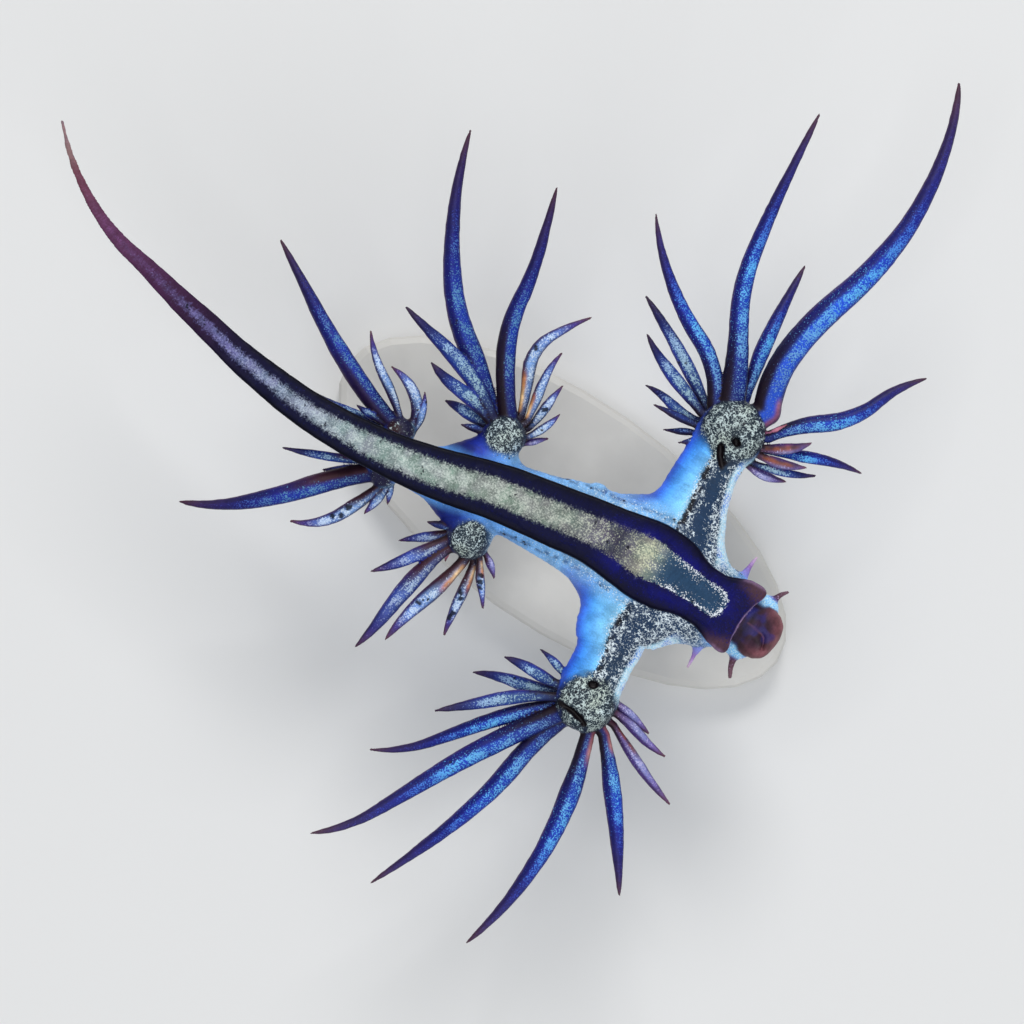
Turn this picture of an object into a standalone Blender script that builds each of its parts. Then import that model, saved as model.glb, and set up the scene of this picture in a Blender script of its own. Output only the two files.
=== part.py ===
"""Blue dragon sea slug, a still life-size model on a plain display stand.

The animal floats belly up, so the foot is the upper surface. The head points
along +X and the tail along -X. +Y is the side of the genital papilla, the
animal's right. All sizes below are in millimetres in the animal's own layout
(foot plane at z = 0); the finished model is moved so that the middle of its
bounding box is over the origin and the stand rests on z = 0, in metres. The
foot line is about 40 mm long from the tail tip to the mouth, along its curve.
"""

import math

import bmesh
import bpy
from mathutils import Matrix, Vector

MM = 0.001
GAP = 0.04  # clearance between neighbouring pieces
MIN_THICK = 0.50  # thinnest feeler or ceras in the solids

# ---------------------------------------------------------------- body sizes
# x along the body, y of the middle line, half width of the foot
FOOT_LINE = [
    (-24.5, 1.50, 0.05),
    (-23.4, 0.53, 0.15),
    (-22.2, -0.25, 0.20),
    (-20.9, -0.89, 0.26),
    (-19.5, -1.34, 0.33),
    (-17.7, -1.62, 0.42),
    (-15.7, -1.97, 0.53),
    (-13.8, -2.24, 0.62),
    (-12.2, -2.48, 0.68),
    (-10.7, -2.60, 0.75),
    (-8.8, -2.68, 0.84),
    (-6.5, -2.54, 0.93),
    (-4.5, -2.25, 1.00),
    (-2.3, -1.74, 1.14),
    (0.5, -0.85, 1.28),
    (3.0, -0.28, 1.37),
    (5.1, 0.18, 1.46),
    (6.7, 0.37, 1.67),
    (7.7, 0.47, 1.80),
    (8.85, 0.55, 1.72),
    (10.2, 0.58, 1.30),
    (11.1, 0.63, 1.28),
    (12.0, 0.70, 1.62),
    (12.6, 0.70, 1.60),
]
# how far the pale flank stands out beyond the foot, on each side
FLANK_LEFT = [
    (-4.0, -0.04),
    (-1.0, 0.28),
    (2.2, 0.50),
    (4.4, 0.82),
    (5.6, 1.05),
    (9.2, 1.00),
    (10.6, 0.25),
    (12.6, 0.00),
]
FLANK_RIGHT = [
    (-4.0, -0.04),
    (-1.0, 0.10),
    (2.4, 0.24),
    (4.0, 0.42),
    (5.6, 0.72),
    (9.2, 0.80),
    (10.6, 0.25),
    (12.6, 0.00),
]
DEPTH_BASE = 0.34  # body depth = DEPTH_BASE + DEPTH_PER_HALF_WIDTH * half width
DEPTH_PER_HALF_WIDTH = 1.60
TAIL_LIFT = 0.7  # the tail tip curls up a little
FOOT_FLAP = 0.50  # thickness of the foot's free front edge
NECK_END = 11.45
FOOT_END = 12.55

# name, first x, last x, number of sections
BODY_LENGTHS = [
    ("tail_tip", -24.5, -18.0, 6),
    ("tail_middle", -18.0, -11.5, 5),
    ("tail_root", -11.5, -5.0, 5),
    ("trunk_rear", -5.0, 2.4, 6),
    ("trunk_front", 2.4, 9.6, 7),
    ("neck", 9.6, NECK_END, 4),
]

PAPILLA = (4.25, 1.62, -1.0, 0.55, 0.42, 0.42)  # centre and half sizes

# ---------------------------------------------------------------- arms
# Each arm is a web from the trunk to a round pad. Stations: x, y, half width.
ARMS = {
    "arm_front_right": {
        "hub": (7.45, 7.31),
        "radius": 1.41,
        "hub_height": 0.92,
        "z": -1.50,
        "half_height": 0.92,
        "web": [(8.1, 0.8, 2.6), (8.0, 2.3, 2.3), (7.95, 3.04, 1.9), (7.8, 3.76, 1.6), (7.49, 5.6, 1.36), (7.45, 6.7, 1.34)],
    },
    "arm_front_left": {
        "hub": (9.01, -6.26),
        "radius": 1.28,
        "hub_height": 0.88,
        "z": -1.50,
        "half_height": 0.90,
        "web": [(8.35, -0.4, 2.6), (8.2, -1.8, 2.38), (8.2, -2.86, 1.8), (8.45, -3.7, 1.47), (8.74, -5.4, 1.36)],
    },
    "arm_middle_right": {
        "hub": (-0.70, 1.39),
        "radius": 0.84,
        "hub_height": 0.70,
        "z": -1.35,
        "half_height": 0.72,
        "web": [(-0.6, -0.9, 1.9), (-0.65, 0.3, 1.25), (-0.7, 1.0, 0.86)],
    },
    "arm_middle_left": {
        "hub": (0.62, -3.27),
        "radius": 0.84,
        "hub_height": 0.70,
        "z": -1.35,
        "half_height": 0.72,
        "web": [(-0.4, -1.4, 2.2), (0.2, -2.4, 1.62), (0.5, -2.95, 0.95)],
    },
    "arm_rear_right": {
        "hub": (-4.60, -1.15),
        "radius": 0.58,
        "hub_height": 0.46,
        "z": -1.72,
        "half_height": 0.40,
        "web": [(-4.7, -2.0, 0.62), (-4.65, -1.55, 0.58), (-4.6, -1.2, 0.52)],
    },
    "arm_rear_left": {
        "hub": (-4.15, -3.05),
        "radius": 0.58,
        "hub_height": 0.46,
        "z": -1.72,
        "half_height": 0.40,
        "web": [(-4.3, -2.2, 0.62), (-4.2, -2.7, 0.58), (-4.15, -3.0, 0.52)],
    },
}

# ---------------------------------------------------------------- cerata
# letter: (root angle on the pad, root distance from its middle, length, width,
#          headings in degrees from root to tip, height of root, rise of tip)
# Upper-case rows are pieces of their own; lower-case rows grow from the arm.
CERATA = {
    "arm_front_right": {
        "A": (65, 1.74, 17.35, 1.20, (118, 88, 75, 83, 96, 106, 121), 0.00, -0.6),
        "B": (127, 1.33, 13.4, 0.88, (115, 124, 103, 99, 98), 0.10, 0.5),
        "E": (26, 1.60, 7.6, 0.80, (60, 38, 73, 50), 0.05, -0.5),
        "C": (158, 1.45, 8.9, 0.74, (118, 158, 145, 130), 0.10, 0.3),
        "D": (103, 1.48, 6.6, 0.72, (109, 99, 96), -0.45, -0.9),
        "H": (174, 1.45, 5.75, 0.66, (148, 153, 158), -0.35, -1.1),
        "I": (-176, 1.62, 4.2, 0.62, (162, 164, 150), 0.15, 0.5),
        "F": (6, 1.70, 4.4, 0.54, (25, 26, 9), -0.20, -0.7),
        "j": (-163, 1.50, 2.9, 0.50, (-159, -192, -172), -0.30, -0.5),
        "k": (-152, 1.45, 2.3, 0.50, (-172, -170), 0.05, 0.3),
        "l": (-143, 1.45, 1.6, 0.50, (-148, -152), -0.25, -0.3),
        "m": (-130, 1.45, 1.0, 0.50, (-138, -138), 0.10, 0.1),
        "r": (5, 1.50, 2.2, 0.52, (30, 38, 58), 0.10, 0.25),
        "g": (-7, 1.62, 2.1, 0.50, (10, 20, 32), 0.12, 0.2),
        "s": (-21, 1.70, 2.8, 0.50, (14, 22, 36), -0.15, -0.1),
        "n": (-30, 1.65, 1.85, 0.50, (-4, 12, 28), -0.40, -0.45),
    },
    "arm_front_left": {
        "C": (-51, 1.35, 10.95, 0.96, (-68, -78, -91, -104), 0.00, -0.5),
        "A": (-124, 1.20, 12.3, 0.96, (-122, -119, -114, -114, -138), 0.05, 0.4),
        "B": (-110, 1.45, 11.1, 0.88, (-108, -94, -104, -109, -111), -0.35, -1.2),
        "D": (-26, 1.65, 7.1, 0.82, (-44, -50, -54), 0.05, 0.3),
        "E": (-147, 1.20, 8.7, 0.72, (-132, -127, -124, -150), -0.25, -0.7),
        "I": (-156, 1.38, 5.35, 0.64, (-151, -134, -136), 0.20, 0.6),
        "J": (-168, 1.38, 3.8, 0.62, (-150, -164, -150), -0.30, -0.7),
        "F": (-4, 1.60, 4.35, 0.50, (-24, -21, -13), -0.30, -0.8),
        "k": (-179, 1.40, 2.75, 0.60, (-170, -178, -164), 0.15, 0.3),
        "g": (16, 1.35, 2.9, 0.50, (2, -14, 2), 0.15, 0.3),
        "h": (37, 1.25, 2.1, 0.50, (-5, -10), -0.30, -0.2),
        "l": (162, 1.40, 1.7, 0.50, (158, 178), -0.15, -0.2),
    },
    "arm_middle_right": {
        "A": (157, 0.90, 13.15, 1.00, (140, 149, 128, 118, 108), -0.15, -0.6),
        "B": (116, 0.90, 10.4, 0.88, (133, 122, 99, 109, 111), 0.05, 0.5),
        "H": (159, 1.05, 6.15, 0.76, (146, 162, 171, 168), 0.30, 0.5),
        "C": (86, 1.10, 5.9, 0.60, (110, 120, 66, 55), -0.30, -0.8),
        "I": (170, 1.10, 3.45, 0.70, (160, 180, 163), 0.25, 0.7),
        "d": (68, 1.15, 3.4, 0.50, (101, 104, 82), 0.10, 0.5),
        "e": (52, 1.10, 2.4, 0.50, (82, 90, 84), -0.35, -0.2),
        "f": (30, 0.95, 1.8, 0.50, (57, 82), 0.00, 0.2),
        "g": (10, 0.90, 1.1, 0.50, (48, 48), -0.30, -0.2),
        "j": (-173, 1.05, 2.0, 0.60, (-182, -172), -0.20, -0.3),
        "k": (-156, 0.90, 1.1, 0.50, (-162, -160), 0.15, 0.1),
    },
    "arm_middle_left": {
        "A": (-121, 1.10, 5.95, 0.80, (-110, -98, -94, -94, -102), 0.00, -0.6),
        "F": (-144, 0.95, 3.65, 0.64, (-117, -121, -130), 0.15, 0.5),
        "B": (-68, 0.95, 4.95, 0.72, (-96, -105, -93), 0.10, 0.4),
        "C": (-44, 1.05, 3.5, 0.54, (-71, -82, -74), -0.25, -0.5),
        "d": (-27, 1.00, 2.2, 0.50, (-58, -47, -54), 0.10, 0.3),
        "e": (-8, 0.95, 1.2, 0.50, (-24, -46), -0.25, -0.2),
        "g": (-165, 0.90, 2.3, 0.50, (-127, -140, -134), -0.30, -0.5),
        "h": (178, 0.85, 1.2, 0.50, (-153, -160), 0.10, 0.1),
    },
    "arm_rear_right": {
        "A": (172, 0.50, 9.6, 0.90, (166, 157, 152, 153), -0.05, -0.7),
        "B": (122, 0.50, 4.2, 0.50, (140, 152, 130), 0.00, 0.2),
        "C": (64, 0.52, 3.1, 0.58, (88, 150, 180), -0.15, -0.3),
        "E": (-168, 0.80, 3.4, 0.50, (-167, -167, -180), -0.05, 0.2),
        "d": (34, 0.55, 1.9, 0.50, (88, 128), 0.00, 0.1),
    },
    "arm_rear_left": {
        "A": (-150, 0.50, 8.75, 0.94, (-137, -127, -136, -155), -0.05, -0.5),
        "C": (178, 0.90, 3.8, 0.50, (-149, -154, -158), 0.05, 0.4),
        "B": (-60, 0.50, 4.6, 0.58, (-106, -114, -160), -0.05, -0.4),
        "e": (-36, 0.45, 1.7, 0.50, (-80, -103), 0.00, 0.1),
        "f": (-12, 0.50, 1.0, 0.50, (-64, -66), -0.10, 0.0),
    },
}
ROOT_WIDTH = 0.66  # width at the root, as a part of the greatest width
WIDEST_AT = 0.27
TIP_WIDTH = 0.30
# the biggest cerata are broad leaves at the root
BROAD_ROOTS = {
    ("arm_front_right", "A"): 1.05,
    ("arm_front_right", "B"): 1.35,
    ("arm_front_right", "C"): 1.00,
    ("arm_front_left", "A"): 0.90,
    ("arm_front_left", "B"): 0.90,
    ("arm_middle_right", "B"): 0.95,
    ("arm_rear_right", "A"): 0.90,
    ("arm_rear_left", "A"): 0.90,
}

# ---------------------------------------------------------------- head
SKULL = (12.72, 0.70, -1.30, 1.25, 1.48, 1.02)
MOUTH = (13.50, 0.66, -0.86, 0.86, 1.10, 0.72)
# root x, y, z, tip x, y, z, root width, tip width
FEELERS = {
    "oral_tentacle_right": ((13.05, 1.75, -1.25), (13.58, 2.92, -1.10), 0.62, 0.50),
    "oral_tentacle_left": ((13.05, -0.45, -1.25), (13.66, -1.74, -1.10), 0.62, 0.50),
    "rhinophore_right": ((11.75, 1.70, -1.75), (11.52, 3.36, -2.00), 0.66, 0.50),
    "rhinophore_left": ((11.90, -0.40, -1.75), (11.78, -2.36, -2.00), 0.66, 0.50),
}

# ---------------------------------------------------------------- stand
BASE_X, BASE_Y = 3.4, 0.1
BASE_LENGTH, BASE_WIDTH, BASE_THICK = 24.0, 10.5, 2.0
BASE_CHAMFER = 0.35
FLOOR_TO_FOOT = 12.0  # height of the foot plane over the floor
RODS = {"stand_rod_front": (8.3, 0.50), "stand_rod_rear": (-0.6, -1.20)}
ROD_RADIUS = 0.55
ROD_INTO_BODY = 1.1

COLOURS = {
    "foot": ((0.010, 0.016, 0.075, 1), 0.45),
    "tail": ((0.075, 0.055, 0.110, 1), 0.45),
    "arm": ((0.22, 0.48, 0.78, 1), 0.40),
    "ceras": ((0.05, 0.19, 0.62, 1), 0.35),
    "head": ((0.30, 0.42, 0.66, 1), 0.40),
    "base": ((0.80, 0.79, 0.76, 1), 0.50),
    "rod": ((0.62, 0.63, 0.65, 1), 0.28),
}


def clear_scene():
    for obj in list(bpy.data.objects):
        bpy.data.objects.remove(obj, do_unlink=True)
    for collection in list(bpy.data.collections):
        bpy.data.collections.remove(collection)


def new_collection(name):
    collection = bpy.data.collections.new(name)
    bpy.context.scene.collection.children.link(collection)
    return collection


def material_for(name, look):
    (red, green, blue, alpha), rough = COLOURS[look]
    material = bpy.data.materials.new(name)
    material.use_nodes = True
    shader = next(n for n in material.node_tree.nodes if n.type == "BSDF_PRINCIPLED")
    shader.inputs["Base Color"].default_value = (red, green, blue, alpha)
    shader.inputs["Roughness"].default_value = rough
    shader.inputs["Metallic"].default_value = 1.0 if look == "rod" else 0.0
    return material


def mesh_object(name, collection, build):
    """An object whose mesh the function build fills through a bmesh."""
    bm = bmesh.new()
    build(bm)
    bmesh.ops.recalc_face_normals(bm, faces=bm.faces)
    if bm.calc_volume(signed=True) < 0:
        bmesh.ops.reverse_faces(bm, faces=bm.faces)
    mesh = bpy.data.meshes.new(name)
    bm.to_mesh(mesh)
    bm.free()
    obj = bpy.data.objects.new(name, mesh)
    collection.objects.link(obj)
    return obj


def interpolate(rows, x):
    """Smooth value between rows of (x, value), with slopes that never overshoot."""
    if x <= rows[0][0]:
        return rows[0][1]
    if x >= rows[-1][0]:
        return rows[-1][1]
    slopes = [(b[1] - a[1]) / (b[0] - a[0]) for a, b in zip(rows, rows[1:])]
    ends = [slopes[0]]
    for before, after in zip(slopes, slopes[1:]):
        ends.append(0.0 if before * after <= 0 else 2 * before * after / (before + after))
    ends.append(slopes[-1])
    for i, (a, b) in enumerate(zip(rows, rows[1:])):
        if x <= b[0]:
            h = b[0] - a[0]
            t = (x - a[0]) / h
            return (
                a[1] * (1 + 2 * t) * (1 - t) ** 2
                + ends[i] * h * t * (1 - t) ** 2
                + b[1] * t * t * (3 - 2 * t)
                + ends[i + 1] * h * t * t * (t - 1)
            )
    return rows[-1][1]


MIDDLE = [(x, y) for x, y, _ in FOOT_LINE]
HALF_WIDTH = [(x, w) for x, _, w in FOOT_LINE]


def lift(x):
    """Height of the foot plane: level, curling up towards the tail tip."""
    t = max(0.0, (-x - 9.0) / 15.5)
    return TAIL_LIFT * t * t


def body_section(x, grow=0.0, shift=0.0, flap=False):
    """One closed ring round the body: foot on top, flanks beside, back below."""
    y = interpolate(MIDDLE, x)
    slope = (interpolate(MIDDLE, x + 0.05) - interpolate(MIDDLE, x - 0.05)) / 0.1
    along = Vector((1.0, slope, 0.0)).normalized()
    across = Vector((-along.y, along.x, 0.0))
    foot = max(interpolate(HALF_WIDTH, x), 0.5 * MIN_THICK - 0.02)
    left = foot + interpolate(FLANK_LEFT, x)
    right = foot + interpolate(FLANK_RIGHT, x)
    depth = max(DEPTH_BASE + DEPTH_PER_HALF_WIDTH * foot, MIN_THICK)
    edge = min(1.0, foot)
    if flap:
        depth, left, right = FOOT_FLAP, foot, foot
    right_side = [
        (0.62 * foot, 0.0),
        (foot + grow, -0.10 * edge),
        (foot + grow, -0.36 * edge),
        (right + grow, -0.52 * depth),
        (0.78 * right + grow, -0.82 * depth - grow),
        (0.30 * right, -depth - grow),
    ]
    left_side = [
        (-0.62 * foot, 0.0),
        (-foot - grow, -0.10 * edge),
        (-foot - grow, -0.36 * edge),
        (-left - grow, -0.52 * depth),
        (-0.78 * left - grow, -0.82 * depth - grow),
        (-0.30 * left, -depth - grow),
    ]
    outline = [(0.0, 0.0)] + right_side + left_side[::-1]
    top = lift(x) + grow
    centre = Vector((x, y, 0.0)) + along * shift
    return [
        centre + across * side + Vector((0, 0, (top if height == 0.0 else lift(x)) + height))
        for side, height in outline
    ]


def loft(name, collection, rings):
    """A closed skin through rings of equal point count, with flat ends."""

    def build(bm):
        rows = [[bm.verts.new(p) for p in ring] for ring in rings]
        count = len(rings[0])
        for row, following in zip(rows, rows[1:]):
            for i in range(count):
                j = (i + 1) % count
                bm.faces.new((row[i], row[j], following[j], following[i]))
        bm.faces.new(rows[0][::-1])
        bm.faces.new(rows[-1])

    return mesh_object(name, collection, build)


def body_length(name, collection, first, last, count, grow=0.0, flap=False):
    xs = [first + (last - first) * i / (count - 1) for i in range(count)]
    rings = []
    for i, x in enumerate(xs):
        shift = 0.0
        if i == 0:
            shift = GAP / 2 - 2 * grow
        if i == count - 1:
            shift = -GAP / 2 + 2 * grow
        rings.append(body_section(x, grow, shift, flap))
    return loft(name, collection, rings)


def ellipsoid(name, collection, spec, grow=0.0):
    x, y, z, a, b, c = spec
    columns, rows = (12, 8) if a > 1.0 else (10, 6)

    def build(bm):
        bmesh.ops.create_uvsphere(bm, u_segments=columns, v_segments=rows, radius=1.0)
        bmesh.ops.scale(bm, vec=(a + grow, b + grow, c + grow), verts=bm.verts)
        bmesh.ops.translate(bm, vec=(x, y, z), verts=bm.verts)

    return mesh_object(name, collection, build)


def arm_web(name, collection, arm, grow=0.0):
    """The web of an arm: rounded sections from inside the trunk to the pad."""
    stations = arm["web"]
    points = [Vector((x, y, 0.0)) for x, y, _ in stations]
    rings = []
    for i, (x, y, half) in enumerate(stations):
        ahead = points[min(i + 1, len(points) - 1)] - points[max(i - 1, 0)]
        ahead.normalize()
        across = Vector((-ahead.y, ahead.x, 0.0))
        ring = []
        for k in range(10):
            angle = 2 * math.pi * k / 10
            side = (half + grow) * math.cos(angle)
            height = (arm["half_height"] + grow) * math.sin(angle)
            ring.append(points[i] + across * side + Vector((0, 0, arm["z"] + height)))
        rings.append(ring)
    return loft(name, collection, rings)


def ceras_width(t, width, root):
    """Spindle profile: narrow root, widest at about a third, long fine tip."""
    if t < WIDEST_AT:
        u = t / WIDEST_AT
        part = root + (1 - root) * u * u * (3 - 2 * u)
    else:
        u = (t - WIDEST_AT) / (1 - WIDEST_AT)
        part = 1 - (1 - TIP_WIDTH) * u**1.15
    return width * part


def ceras_path(arm, row, steps):
    """Points from just inside the pad to the tip, following the headings."""
    angle, reach, length, width, headings, layer, rise = row
    hub_x, hub_y = arm["hub"]
    x = hub_x + reach * math.cos(math.radians(angle))
    y = hub_y + reach * math.sin(math.radians(angle))
    z = arm["z"] + layer
    toward_hub = Vector((hub_x - x, hub_y - y, arm["z"] - z))
    inner = Vector((x, y, z)) + toward_hub * 0.45
    points = [(inner, 0.0), (Vector((x, y, z)), 0.0)]
    fine = 8
    for i in range(steps * fine):
        t = (i + 0.5) / (steps * fine)
        place = t * (len(headings) - 1)
        k = min(int(place), len(headings) - 2)
        heading = headings[k] + (headings[k + 1] - headings[k]) * (place - k)
        x += length / (steps * fine) * math.cos(math.radians(heading))
        y += length / (steps * fine) * math.sin(math.radians(heading))
        if (i + 1) % fine == 0:
            u = (i + 1) / (steps * fine)
            bow = 0.25 * math.sin(math.pi * u) * (1 if rise < 0 else -1) * min(1.0, length / 8)
            points.append((Vector((x, y, z + rise * u * u * (3 - 2 * u) + bow)), u))
    return points


def tapered_tube(name, collection, points, radii, resolution):
    """A curve with a bevel, its caps welded, as a mesh object."""
    curve = bpy.data.curves.new(name + "_curve", "CURVE")
    curve.dimensions = "3D"
    curve.bevel_depth = 1.0
    curve.bevel_resolution = resolution
    curve.use_fill_caps = True
    spline = curve.splines.new("POLY")
    spline.points.add(len(points) - 1)
    for point, place, radius in zip(spline.points, points, radii):
        point.co = (place.x, place.y, place.z, 1.0)
        point.radius = radius
    holder = bpy.data.objects.new(name + "_holder", curve)
    collection.objects.link(holder)
    bpy.context.view_layer.update()
    graph = bpy.context.evaluated_depsgraph_get()
    mesh = bpy.data.meshes.new_from_object(holder.evaluated_get(graph))
    bm = bmesh.new()
    bm.from_mesh(mesh)
    bmesh.ops.remove_doubles(bm, verts=bm.verts, dist=0.00005)
    bmesh.ops.recalc_face_normals(bm, faces=bm.faces)
    bm.to_mesh(mesh)
    bm.free()
    mesh.materials.clear()
    obj = bpy.data.objects.new(name, mesh)
    obj.matrix_world = holder.matrix_world.copy()
    collection.objects.link(obj)
    bpy.data.objects.remove(holder, do_unlink=True)
    bpy.data.curves.remove(curve)
    return obj


def ceras(name, collection, arm, row, own_piece, root=ROOT_WIDTH, grow=0.0):
    steps = (7 if row[2] > 7.5 else 5 if row[2] > 4.5 else 4) if own_piece else 3 if row[2] > 1.5 else 2
    path = ceras_path(arm, row, steps)
    points, radii = [], []
    for place, t in path:
        points.append(place)
        radii.append(max(ceras_width(t, row[3], root), MIN_THICK) / 2 + grow)
    # the tip closes in a small round end instead of a cut
    tip, before = points[-1], points[-2]
    direction = (tip - before).normalized()
    end = radii[-1]
    points[-1] = tip - direction * end * 0.75
    radii[-1] = end
    points.append(tip + direction * grow)
    radii.append(end * 0.42)
    return tapered_tube(name, collection, points, radii, 2 if row[3] > 0.9 else 1)


def keep_largest(obj):
    """Removes the crumbs that a cut can leave beside the main body."""
    bm = bmesh.new()
    bm.from_mesh(obj.data)
    bm.faces.ensure_lookup_table()
    bm.faces.index_update()
    seen = [False] * len(bm.faces)
    islands = []
    for start in range(len(bm.faces)):
        if seen[start]:
            continue
        seen[start] = True
        island, waiting = [], [start]
        while waiting:
            face = bm.faces[waiting.pop()]
            island.append(face)
            for edge in face.edges:
                for other in edge.link_faces:
                    if not seen[other.index]:
                        seen[other.index] = True
                        waiting.append(other.index)
        islands.append(island)
    if len(islands) > 1:

        def extent(island):
            places = [v.co for face in island for v in face.verts]
            low = [min(p[k] for p in places) for k in range(3)]
            high = [max(p[k] for p in places) for k in range(3)]
            return math.dist(low, high)

        islands.sort(key=extent, reverse=True)
        crumbs = [face for island in islands[1:] for face in island]
        bmesh.ops.delete(bm, geom=crumbs, context="FACES")
        loose = [v for v in bm.verts if not v.link_faces]
        bmesh.ops.delete(bm, geom=loose, context="VERTS")
    bm.to_mesh(obj.data)
    bm.free()
    put_in_order(obj)


def put_in_order(obj):
    """Numbers the vertices and faces by place, so that every run is alike."""
    old = obj.data
    places = [tuple(v.co) for v in old.vertices]
    order = sorted(range(len(places)), key=lambda i: tuple(round(c, 5) for c in places[i]))
    new_number = {number: i for i, number in enumerate(order)}
    faces = []
    for polygon in old.polygons:
        ring = [new_number[i] for i in polygon.vertices]
        first = ring.index(min(ring))
        faces.append(ring[first:] + ring[:first])
    mesh = bpy.data.meshes.new(obj.name)
    mesh.from_pydata([places[i] for i in order], [], sorted(faces))
    obj.data = mesh
    bpy.data.meshes.remove(old)
    mesh.name = obj.name


def corners(obj):
    places = [v.co for v in obj.data.vertices]
    low = [min(p[k] for p in places) for k in range(3)]
    high = [max(p[k] for p in places) for k in range(3)]
    return low, high


def apart(one, other):
    low_a, high_a = corners(one)
    low_b, high_b = corners(other)
    return any(high_a[k] < low_b[k] or high_b[k] < low_a[k] for k in range(3))


def combine(obj, other, operation):
    """Applies one exact Boolean to the object's mesh."""
    if operation == "DIFFERENCE" and apart(obj, other):
        return
    modifier = obj.modifiers.new("join", "BOOLEAN")
    modifier.operation = operation
    modifier.object = other
    for solver in ("EXACT", "MANIFOLD"):
        modifier.solver = solver
        bpy.context.view_layer.update()
        graph = bpy.context.evaluated_depsgraph_get()
        mesh = bpy.data.meshes.new_from_object(obj.evaluated_get(graph))
        if len(mesh.vertices) > 8:
            break
        bpy.data.meshes.remove(mesh)
    obj.modifiers.remove(modifier)
    old = obj.data
    obj.data = mesh
    mesh.name = obj.name
    bpy.data.meshes.remove(old)
    keep_largest(obj)


def tidy(obj, step=0.015):
    """Welds slivers that the cuts leave, then dissolves flat leftovers."""
    bm = bmesh.new()
    bm.from_mesh(obj.data)
    bmesh.ops.remove_doubles(bm, verts=bm.verts, dist=step)
    bmesh.ops.dissolve_degenerate(bm, edges=bm.edges, dist=step)
    bmesh.ops.triangulate(bm, faces=bm.faces)
    if all(len(edge.link_faces) == 2 for edge in bm.edges):
        bm.to_mesh(obj.data)
    bm.free()
    keep_largest(obj)


def drop(obj):
    mesh = obj.data
    bpy.data.objects.remove(obj, do_unlink=True)
    bpy.data.meshes.remove(mesh)


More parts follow.
